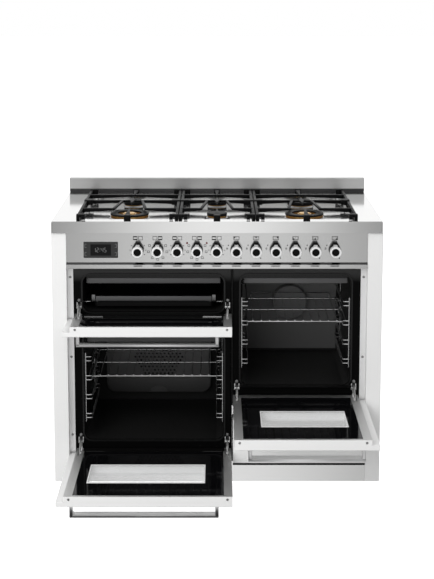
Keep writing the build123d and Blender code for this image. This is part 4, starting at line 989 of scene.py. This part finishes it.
def print_panel():
    bm = bmesh.new()
    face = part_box("control_panel")[0][1]
    for i, name in enumerate(knob_names):
        low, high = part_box(name)
        x = half_way(low, high, 0)
        z = low[2] + (high[0] - low[0]) / 2
        if i < OVEN_KNOBS:
            oven_marks(bm, x, z + MARK_RISE, face, i % 2)
            ring_marks(bm, x, z, face, i in SYMBOL_KNOBS)
        else:
            burner_marks(bm, x, z + MARK_RISE, face, i - OVEN_KNOBS)
            flame_marks(bm, x, z, face)
    finish_piece("panel_printing", bm, print_ink, "cooker")


print_panel()
print("panel printed for", len(knob_names), "knobs")

# %% [markdown]
# ## Small metal
# Screws hold the doors, the frames and the rear cover together. Their heads are small
# turned domes, and they are among the details that make the scale believable. A bolt
# and a catch with a pin sit above each hinge arm. Bright strips edge the oven mouths.

# %% Screws of the doors and the rear cover
SCREW = 4.3 * MM
SCREW_STEPS = 20
DOME = [(0, 1.6 * MM), (SCREW * 0.55, 1.4 * MM), (SCREW * 0.9, 0.7 * MM), (SCREW, 0), (0, 0)]
DOOR_SCREW_RISE = 9.0 * MM
DOOR_SCREW_SIDE = 16.0 * MM
REAR_SCREW_SIDE = 12.0 * MM
BACKWARD = Matrix.Rotation(math.pi, 4, "Z") @ FORWARD


def screw(bm, place, turn=FORWARD):
    turned(bm, DOME, Matrix.Translation(place) @ turn, SCREW_STEPS)


def rear_screws():
    low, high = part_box("rear_cover")
    bm = bmesh.new()
    for x in (low[0] + REAR_SCREW_SIDE, half_way(low, high, 0), high[0] - REAR_SCREW_SIDE):
        for z in (low[2] + REAR_SCREW_SIDE, high[2] - REAR_SCREW_SIDE):
            screw(bm, (x, high[1], z), BACKWARD)
    finish_piece("rear_cover_screws", bm, dull_zinc, "cooker")


def door_screws(door):
    bm = bmesh.new()
    low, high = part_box(f"{door}_door_frame")
    skin_low, skin_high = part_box(f"{door}_door_skin")
    for x in (low[0] + DOOR_SCREW_SIDE, high[0] - DOOR_SCREW_SIDE):
        screw(bm, (x, skin_low[1], skin_high[2] + DOOR_SCREW_RISE))
    finish_piece(f"{door}_door_screws", bm, dull_zinc, f"{door}_door")


rear_screws()
for door in DOORS:
    door_screws(door)
print("screw heads are", 2 * SCREW, "wide")

# %% Strips and hinge metal
STRIP = 0.4 * MM
DIVIDER_LAP = 0.2 * MM
LEFT_SCREWS = (0.705, 0.43, 0.158)
RIGHT_SCREWS = (0.705, 0.43)
BOLT_RISE = 28.0 * MM
BOLT_SCALE = 1.4
CATCH_RISE = 6.0 * MM
CATCH_SIDE = 7.0 * MM
CATCH_HALF = 2.0 * MM
CATCH_DEPTH = 3.0 * MM
CATCH_HEIGHT = 22.0 * MM
CATCH_EDGE = 0.8 * MM
PIN = 3.0 * MM
PIN_REACH = 8.0 * MM


def flange_strips():
    """The bright upright edges beside the oven mouths with their screws, and the black divider."""
    strips, screws = bmesh.new(), bmesh.new()
    frames = loose_boxes("front_frames")
    left, right = frames[0], frames[-1]
    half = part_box("chassis")[1][0]
    ends = ((-half, left[0].x, left[0], LEFT_SCREWS), (right[1].x, half, right[0], RIGHT_SCREWS))
    for start, end, low, heights in ends:
        face = low.y - STRIP
        rounded_block(strips, (start, face, low.z), (end, low.y, left[1].z))
        for z in heights:
            screw(screws, ((start + end) / 2, face, z))
    finish_piece("flange_strips", strips, flange_steel, "cooker")
    start = (left[1].x, left[0].y - STRIP, right[0].z)
    end = (right[0].x, left[0].y + DIVIDER_LAP, left[1].z)
    block_piece("oven_divider_strip", start, end, 0, black_enamel)
    finish_piece("flange_screws", screws, dull_zinc, "cooker")


def hinge_metal():
    bolts, catches = bmesh.new(), bmesh.new()
    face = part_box("front_frames")[0][1]
    front = face - CATCH_DEPTH
    for low, high in loose_boxes("hinge_arms"):
        x = half_way(low, high, 0)
        screw(bolts, (x, face, high.z + BOLT_RISE), FORWARD @ Matrix.Scale(BOLT_SCALE, 4))
        for plate in (x - CATCH_SIDE, x + CATCH_SIDE):
            start = (plate - CATCH_HALF, front, high.z)
            rounded_block(catches, start, (plate + CATCH_HALF, face, high.z + CATCH_HEIGHT), CATCH_EDGE)
        z = high.z + CATCH_RISE
        round_bar(catches, (x - PIN_REACH, front, z), (x + PIN_REACH, front, z), PIN)
    finish_piece("hinge_bolts", bolts, dull_zinc, "cooker")
    finish_piece("hinge_catches", catches, chrome, "cooker")


flange_strips()
hinge_metal()
print("strips and hinge metal made")

# %% [markdown]
# Inside each mouth a turned-down edge of the oven's roof catches the light as a soft
# grey band, with a black web above it.

# %% Roof lips
LIP_TOP = 14.0 * MM
LIP_DROP = 17.0 * MM
LIP_SIDE = 12.0 * MM
LIP_BACK = 14.0 * MM
LIP_SHEET = 1.5 * MM
LIP_EDGE = 0.6 * MM
WEB_LAP = 1.0 * MM
WEB_DEPTH = (0.7 * MM, 2.0 * MM)
lip_enamel = plain_finish("lip enamel", (0.075, 0.075, 0.076), 0.35)


def make_lip(node):
    low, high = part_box(node)
    top = high[2] - LIP_SHEET
    band = top - LIP_TOP
    y = low[1] + LIP_BACK
    left, right = low[0] + LIP_SIDE, high[0] - LIP_SIDE
    start, end = (left, y, band - LIP_DROP), (right, y + LIP_SHEET, band)
    block_piece(f"{node}_roof_lip", start, end, LIP_EDGE, lip_enamel)
    start, end = (left, y + WEB_DEPTH[0], band - WEB_LAP), (right, y + WEB_DEPTH[1], top)
    block_piece(f"{node}_roof_web", start, end, 0, seal_rubber)


for node in ("grill_cavity", "main_cavity", "right_cavity"):
    make_lip(node)
print("lips made")

# %% [markdown]
# ## Door edges and handles
# From the front each door shows one white edge, although a steel frame and a white
# skin meet there, so a thin white strip covers the frame's edge. The handles are flat
# polished bars on two posts.

# %% Make the door edges and handles
EDGE_STRIP = 0.4 * MM
EDGE_RISE = 0.3 * MM
HANDLE_THICK = 8.0 * MM
HANDLE_EDGE = 1.0 * MM
POST = 11.0 * MM
HANDLE_REACH = {"upper": 8.0 * MM, "lower": 17.0 * MM, "right": 17.0 * MM}


def make_door_edge(door):
    low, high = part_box(f"{door}_door_frame")
    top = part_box(f"{door}_door_glass")[1][2] + EDGE_RISE
    skin_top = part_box(f"{door}_door_skin")[1][2]
    start, end = (low[0], low[1] - EDGE_STRIP, skin_top), (high[0], low[1] + EDGE_STRIP, top)
    block_piece(f"{door}_door_edge", start, end, 0, white_enamel, f"{door}_door")


def make_handle(door, reach):
    node = f"{door}_door_handle"
    low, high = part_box(node)
    front = low[1] - reach
    bm = bmesh.new()
    bar_top = low[2] + HANDLE_THICK
    rounded_block(bm, (low[0], front, low[2]), (high[0], high[1], bar_top), HANDLE_EDGE)
    foot = low[2] + HANDLE_THICK / 2
    for x in (low[0], high[0] - POST):
        rounded_block(bm, (x, front, foot), (x + POST, high[1], high[2]), HANDLE_EDGE)
    finish_piece(f"{node}_bar", bm, handle_steel, f"{door}_door", [node])


for door, reach in HANDLE_REACH.items():
    make_door_edge(door)
    make_handle(door, reach)
print("door edges and handles made")

# %% [markdown]
# ## Pan supports
# A pan support is one iron casting. Slim side rails carry blocks at the corners and
# half-way, tapered fingers reach in from them, and pointed bars lie over the burners.
# Every block is plain at first. One bevel over all sharp edges then gives the soft
# edges of a casting.

# %% Helpers for the castings
RAIL = 9.0 * MM
BAR = 9.0 * MM
DEEP = 15.0 * MM
SLIM = 7.0 * MM


def upright_bar(bm, root, end, y, top):
    """A finger across the hob: deep at its root and slim at its end."""
    outline = [(root, top), (end, top), (end, top - SLIM), (root, top - DEEP)]
    drawn_slab(bm, outline, BAR, Matrix.Translation((0, y + BAR / 2, 0)) @ FORWARD)


def plan_bar(bm, outline, low, high):
    """A bar whose outline is seen from above."""
    drawn_slab(bm, outline, high - low, Matrix.Translation((0, 0, low)))


print("fingers taper from", DEEP, "to", SLIM)

# %% Sides and spine of a support
CROWN = 2.5 * MM
STEP = 1.0 * MM
RAIL_STOP = 6.0 * MM
CORNER = 20.0 * MM
CORNER_REACH = 29.0 * MM
CORNER_DEEP = 8.0 * MM
FOOT_WIDE = 11.0 * MM
LUG = (17.0 * MM, 29.0 * MM)
LUG_BACK = 16.0 * MM
HALF_BLOCK = 17.0 * MM
HALF_REACH = 30.0 * MM
ROOT = 4.0 * MM
FINGER_STOP = 50.0 * MM
HALF_STOP = 6.0 * MM
BEND = 30.0 * MM
SPINE = 9.0 * MM
SPINE_FOOT = 11.0 * MM
SPINE_FRONT = 18.0 * MM
SPINE_BACK = 16.0 * MM
SPINE_LAP = 2.0 * MM
POINT = 14.0 * MM
STAR = 58.0 * MM


def grate_side(bm, low, high, way, front, half, rear):
    """The rail, blocks and fingers of one side of a support."""
    top = high.z - CROWN
    edge = low.x if way > 0 else high.x
    middle = half_way(low, high, 0)

    def block(x, y, z):
        across = sorted((edge + way * x[0], edge + way * x[1]))
        rounded_block(bm, (across[0], y[0], z[0]), (across[1], y[1], z[1]))

    corner = low.y + CORNER
    block((STEP, STEP + RAIL), (low.y + RAIL_STOP, high.y - RAIL_STOP), (top - DEEP, top - STEP))
    block((0, FOOT_WIDE), (low.y, corner), (low.z, top))
    block((0, CORNER_REACH), (low.y + 3 * STEP, corner), (top - CORNER_DEEP, high.z))
    block(LUG, (low.y + STEP, low.y + LUG_BACK), (low.z + 2 * STEP, top - 4 * STEP))
    block((0, CORNER_REACH), (high.y - CORNER, high.y), (low.z + 2 * STEP, high.z))
    block((0, HALF_REACH), (half - HALF_BLOCK, half + HALF_BLOCK), (top - DEEP, high.z))
    root = edge + way * ROOT
    stop = middle - way * FINGER_STOP
    upright_bar(bm, root, stop, front, top)
    upright_bar(bm, root, middle - way * HALF_STOP, half, top)
    upright_bar(bm, root, middle, rear, top)
    bend = middle - way * BEND
    outline = [(stop - way * BAR, front), (stop, front), (bend, half), (bend - way * BAR, half)]
    plan_bar(bm, outline, top - SLIM, top)


def grate_spine(bm, low, high, front, half, rear):
    """The middle feet, two pointed bars and the star over the burners."""
    top = high.z - CROWN
    under = top - SLIM
    middle = half_way(low, high, 0)
    left, right = middle - SPINE_FOOT, middle + SPINE_FOOT
    rounded_block(bm, (left, low.y, low.z), (right, low.y + SPINE_FRONT, top))
    rounded_block(bm, (left, high.y - SPINE_BACK, low.z + 3 * STEP), (right, high.y, high.z))
    left, right = middle - SPINE, middle + SPINE
    near, far = low.y + SPINE_FRONT - SPINE_LAP, high.y - SPINE_BACK + SPINE_LAP
    plan_bar(bm, [(left, near), (right, near), (middle, front + POINT)], under, top)
    star = [(middle, half - STAR), (right, half), (middle, half + STAR), (left, half)]
    plan_bar(bm, star, under, top + STEP)
    plan_bar(bm, [(right, far), (left, far), (middle, rear - POINT)], under, top)


print("star over the burners:", 2 * STAR, "long")

# %% Make the pan supports
BAR_SHIFT = 44.0 * MM
CAST_EDGE = 1.3 * MM
CAST_SHARP = math.radians(30)


def make_pan_supports():
    bm = bmesh.new()
    rows = sorted({round(half_way(low, high, 1), 4) for low, high in cup_boxes})
    front, rear = rows[0], rows[-1]
    half = (front + rear) / 2 + BAR_SHIFT
    rear += BAR_SHIFT
    for low, high in loose_boxes("pan_supports"):
        grate_side(bm, low, high, 1, front, half, rear)
        grate_side(bm, low, high, -1, front, half, rear)
        grate_spine(bm, low, high, front, half, rear)
    round_off(bm, [e for e in bm.edges if e.calc_face_angle(0.0) > CAST_SHARP], CAST_EDGE)
    finish_piece("cast_pan_supports", bm, cast_iron, "cooker", ["pan_supports"])


make_pan_supports()
print("pan supports made")

# %% [markdown]
# ## Gaps, clips and the tray's front
# Narrow gaps and edges come next. The drawer's front has a lip with a dark line under
# it. A grey line lies under the panel, and below each knob a short dark mark paints the
# knob's reflection in the trim. The rear rail of each door is black, and two bright clips
# hold the rear edge of its pane. The tray in the upper oven has a raised front band with
# two lugs. Thin strips are enough for all of these.

# %% Drawer lip and dark gaps
DRAWER_LIP = 12.0 * MM
LIP_CLEAR = 1.2 * MM
LIP_ROUND = 0.8 * MM
LIP_LAP = 1.0 * MM
GAP_LINE = 9.0 * MM
GAP_PROUD = 0.4 * MM
GAP_RISE = 0.3 * MM
GREY_DEPTH = (1.0 * MM, 2.0 * MM)
KNOB_REFLECTION_SPAN = (-9.0 * MM, 17.0 * MM)
gap_grey = plain_finish("gap", 0.06, 0.6, specular=0.1)
# This black serves the real gap by the kick plate and the painted knob reflections below the panel.
gap_and_reflection_black = plain_finish("slot", 0.002, 0.8, specular=0.0)


def make_drawer_lip():
    """The drawer's front reaches down over the top of the kick plate."""
    low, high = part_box("drawer_front")
    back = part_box("kick_plate")[0][1] - LIP_CLEAR
    start, end = (low[0], low[1], low[2] - DRAWER_LIP), (high[0], back, low[2] + LIP_LAP)
    block_piece("drawer_lip", start, end, LIP_ROUND, white_enamel, "drawer")


def make_gaps_and_knob_reflections():
    low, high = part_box("kick_plate")
    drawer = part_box("drawer_front")[0]
    panel_low, panel_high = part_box("control_panel")
    foot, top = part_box("panel_trim")[1][2], panel_low[2]
    dark = bmesh.new()
    start = (max(low[0], drawer[0]), low[1] - GAP_PROUD, drawer[2] - DRAWER_LIP - GAP_LINE)
    rounded_block(dark, start, (high[0], low[1] + GAP_PROUD, high[2] + GAP_RISE))
    front, back = (panel_low[1] + depth for depth in GREY_DEPTH)
    block_piece("panel_gap", (panel_low[0], front, foot), (panel_high[0], back, top), 0, gap_grey)
    # Below each knob a short dark mark paints the knob's reflection in the trim.
    for name in knob_names:
        x = half_way(*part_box(name), 0)
        rounded_block(dark, (x + KNOB_REFLECTION_SPAN[0], panel_low[1] + GAP_PROUD, foot), (x + KNOB_REFLECTION_SPAN[1], front, top))
    finish_piece("dark_gaps_and_knob_reflections", dark, gap_and_reflection_black, "cooker")


make_drawer_lip()
make_gaps_and_knob_reflections()
print("drawer lip and gaps made")

# %% Door rails, clips and tray front
RAIL_REACH = 240.0 * MM
RAIL_NEAR = 1.0 * MM
RAIL_SIDE = 4.0 * MM
RAIL_COVER = 0.4 * MM
CLIP = 62.0 * MM
CLIP_SIDE = 6.0 * MM
CLIP_DEPTH = (2.0 * MM, 0.5 * MM)
CLIP_PROUD = 0.15 * MM
BAND_SIDE = 30.0 * MM
BAND_LOW = -3.0 * MM
BAND_HIGH = 15.0 * MM
BAND_SHEET = 1.5 * MM
BAND_EDGE = 0.6 * MM
LUG_PLACES = (-14.0 * MM, 2.0 * MM)
LUG_WIDE = 12.0 * MM
LUG_THICK = 3.0 * MM
LUG_RISE = 5.0 * MM
LUG_EDGE = 1.2 * MM


def make_rail_cover(door, low, high):
    """The rear rail of the door is black where it faces the oven."""
    middle = half_way(low, high, 0)
    edge = high.y - RAIL_NEAR
    near = [v.co for v in nodes[f"{door}_door_frame"].data.vertices if v.co.y > edge]
    level = max((c.z for c in near if abs(c.x - middle) < RAIL_REACH), default=high.z)
    back = max(c.y for c in near if abs(c.z - level) < RAIL_NEAR)
    start, end = (low.x - RAIL_SIDE, edge, level), (high.x + RAIL_SIDE, back, level + RAIL_COVER)
    block_piece(f"{door}_rail_cover", start, end, 0, black_enamel, f"{door}_door")


def make_clips(door, low, high):
    front, back = (high.y - depth for depth in CLIP_DEPTH)
    bm = bmesh.new()
    for start in (low.x + CLIP_SIDE, high.x - CLIP_SIDE - CLIP):
        rounded_block(bm, (start, front, high.z), (start + CLIP, back, high.z + CLIP_PROUD))
    finish_piece(f"{door}_pane_clips", bm, chrome, f"{door}_door")


def make_tray_front():
    low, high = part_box("grill_tray")
    lugs = bmesh.new()
    left, right = low[0] + BAND_SIDE, high[0] - BAND_SIDE
    foot, top = high[2] + BAND_LOW, high[2] + BAND_HIGH
    start, end = (left, low[1], foot), (right, low[1] + BAND_SHEET, top)
    block_piece("tray_front_band", start, end, BAND_EDGE, lip_enamel, "grill_tray")
    for x in (left + LUG_PLACES[0], right + LUG_PLACES[1]):
        corner = (x + LUG_WIDE, low[1] + LUG_THICK, top + LUG_RISE)
        rounded_block(lugs, (x, low[1], foot), corner, LUG_EDGE)
    finish_piece("tray_front_lugs", lugs, dull_zinc, "grill_tray")


for door in DOORS:
    pane = max(loose_boxes(f"{door}_door_glass"), key=lambda b: b[1].z)
    make_rail_cover(door, *pane)
    make_clips(door, *pane)
make_tray_front()
print("rails, clips and tray front made")

# %% [markdown]
# Where the hob meets its rear upstand, the shade along the upstand's foot is painted.
# From the front it is only a dark band, so one thin dark block shows it.

# %% Painted shade at the upstand's foot
FOOT_SHADE_SIDE = 2.0 * MM
FOOT_SHADE_PROUD = 1.5 * MM
FOOT_SHADE_DEPTH = 0.5 * MM
FOOT_SHADE_EDGE = 0.5 * MM
FOOT_SHADE_HEIGHT = 11.0 * MM
foot_shade_black = plain_finish("painted foot shade", (0.035, 0.035, 0.036), 0.3)


# The thin dark block paints the shade along the foot of the rear upstand.
def make_foot_shade():
    low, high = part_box("backguard")
    start = (low[0] + FOOT_SHADE_SIDE, low[1] - FOOT_SHADE_PROUD, low[2])
    end = (high[0] - FOOT_SHADE_SIDE, low[1] + FOOT_SHADE_DEPTH, low[2] + FOOT_SHADE_HEIGHT)
    block_piece("painted_foot_shade", start, end, FOOT_SHADE_EDGE, foot_shade_black)


make_foot_shade()
print("painted foot shade made")

# %% [markdown]
# ## Light, floor and camera
# The catalogue picture has a white background with no visible horizon. The world is
# white to the camera and softer on matt faces. Steel shows what stands round it, so
# mirrors see a world of their own: a bright strip ahead that falls to grey at its
# sides, and a bright backdrop behind.

# %% World
FAR_START, FAR_END = 0.35, 0.7
BEHIND_START, BEHIND_END = -0.2, 0.3


def make_world(soft, front, side, spread, backdrop):
    """White to the camera and soft on matt faces. Mirrors see a strip ahead and a backdrop behind."""
    world = bpy.data.worlds.new("studio")
    world.use_nodes = True
    tree = world.node_tree
    rays = tree.nodes.new("ShaderNodeLightPath").outputs
    place = tree.nodes.new("ShaderNodeTexCoord").outputs["Generated"]
    way = add_node(tree, "SeparateXYZ", {"Vector": place}).outputs
    away = add_node(tree, "Math", {0: way["X"]})
    away.operation = "ABSOLUTE"
    aside = {"Value": away.outputs["Value"], "To Max": side}
    strip = add_node(tree, "MapRange", aside | {"From Max": spread, "To Min": front})
    far = add_node(tree, "MapRange", aside | {"From Min": FAR_START, "From Max": FAR_END})
    for ramp in (strip, far):
        ramp.interpolation_type = "SMOOTHSTEP"
    ahead = add_node(tree, "Math", {0: strip.outputs["Result"], 1: far.outputs["Result"]})
    limits = {"From Min": BEHIND_START, "From Max": BEHIND_END}
    behind = add_node(tree, "MapRange", {"Value": way["Y"]} | limits)
    tones = {"A": ahead.outputs["Value"], "B": backdrop}
    blend = add_node(tree, "Mix", {"Factor": behind.outputs["Result"]} | tones)
    mirror = add_node(tree, "Background", {"Strength": blend.outputs["Result"]})
    matt = add_node(tree, "Background", {"Strength": soft})
    white = fill(tree.nodes["Background"], {"Color": (1.0, 1.0, 1.0, 1.0)})
    light = {1: matt.outputs["Background"], 2: mirror.outputs["Background"]}
    lit = add_node(tree, "MixShader", {"Fac": rays["Is Glossy Ray"]} | light)
    views = {1: lit.outputs["Shader"], 2: white.outputs["Background"]}
    seen = add_node(tree, "MixShader", {"Fac": rays["Is Camera Ray"]} | views)
    fill(tree.nodes["World Output"], {"Surface": seen.outputs["Shader"]})
    bpy.context.scene.world = world


make_world(soft=0.6, front=1.35, side=0.36, spread=0.15, backdrop=1.4)
bpy.context.scene.view_settings.view_transform = "Standard"
print("world:", bpy.context.scene.world.name)

# %% [markdown]
# The floor glows white, so that it meets the background without a line. Mirrors and
# matt faces don't see it. A dark card lies on it, which mirrors alone see.

# %% Floor and card
FLOOR_SIZE = 30.0
FLOOR_GLOW = 1.0
CARD_X = (-0.6, 0.12)
CARD_Y = (-0.95, -0.54)
CARD_Z = (0.001, 0.002)


def stage_piece(name, bm, material, unseen_by):
    """A piece of the studio, which some kinds of rays don't meet."""
    mesh = bpy.data.meshes.new(name)
    bm.to_mesh(mesh)
    bm.free()
    piece = bpy.data.objects.new(name, mesh)
    bpy.context.scene.collection.objects.link(piece)
    mesh.materials.append(material)
    for ray in unseen_by:
        setattr(piece, f"visible_{ray}", False)
    return piece


def make_floor():
    bm = bmesh.new()
    bmesh.ops.create_grid(bm, x_segments=1, y_segments=1, size=FLOOR_SIZE)
    paint = plain_finish("floor", 0.9, 0.9)
    glow = {"Emission Color": (1.0, 1.0, 1.0, 1.0), "Emission Strength": FLOOR_GLOW}
    fill(paint.node_tree.nodes["Principled BSDF"], glow)
    return stage_piece("floor", bm, paint, ("glossy", "diffuse"))


def make_card():
    """A dark card on the floor that only mirrors see. It darkens the lowest handle's front."""
    bm = bmesh.new()
    corners = zip(CARD_X, CARD_Y, CARD_Z)
    rounded_block(bm, *corners)
    paint = plain_finish("card", 0.02, 0.9, specular=0.0)
    stage_piece("card", bm, paint, ("camera", "diffuse", "transmission", "shadow"))


floor = make_floor()
make_card()
print("floor size:", tuple(round(v, 1) for v in floor.dimensions))

# %% [markdown]
# One large soft light stands at the front left and a weaker one above. An area light
# gives the soft edges of a studio lamp. Both are hidden from mirrors, so that no white
# squares show in the steel.


# %% Lights
def soft_light(name, place, target, size, power):
    data = bpy.data.lights.new(name, "AREA")
    data.shape = "RECTANGLE"
    data.size, data.size_y = size
    data.energy = power
    lamp = bpy.data.objects.new(name, data)
    lamp.location = place
    lamp.rotation_euler = (Vector(target) - Vector(place)).to_track_quat("-Z", "Y").to_euler()
    lamp.visible_glossy = False
    bpy.context.scene.collection.objects.link(lamp)


soft_light("key", place=(-1.4, -3.0, 2.1), target=(-0.1, 0, 0.4), size=(2.6, 2.6), power=88)
soft_light("top", place=(0.0, -0.9, 3.4), target=(0, -0.2, 0.5), size=(2.4, 1.6), power=12)
print("lights:", len(bpy.data.lights))

# %% [markdown]
# The photographer kept the uprights almost parallel with a shifted lens. The camera
# here does part of that with its shift and the rest with a slight downward tilt, so
# that other views stay centred.

# %% Camera
CAMERA_BACK = 4.642
CAMERA_HEIGHT = 1.732
CAMERA_TILT = 8.43
LENS = 87.0
SHIFT_DOWN = -0.2
camera_data = bpy.data.cameras.new("camera")
camera_data.lens = LENS
camera_data.shift_y = SHIFT_DOWN
camera = bpy.data.objects.new("camera", camera_data)
camera.location = (0.0, -CAMERA_BACK, CAMERA_HEIGHT)
camera.rotation_euler = (math.radians(90 - CAMERA_TILT), 0.0, 0.0)
bpy.context.scene.collection.objects.link(camera)
bpy.context.scene.camera = camera
print("camera at", tuple(camera.location))
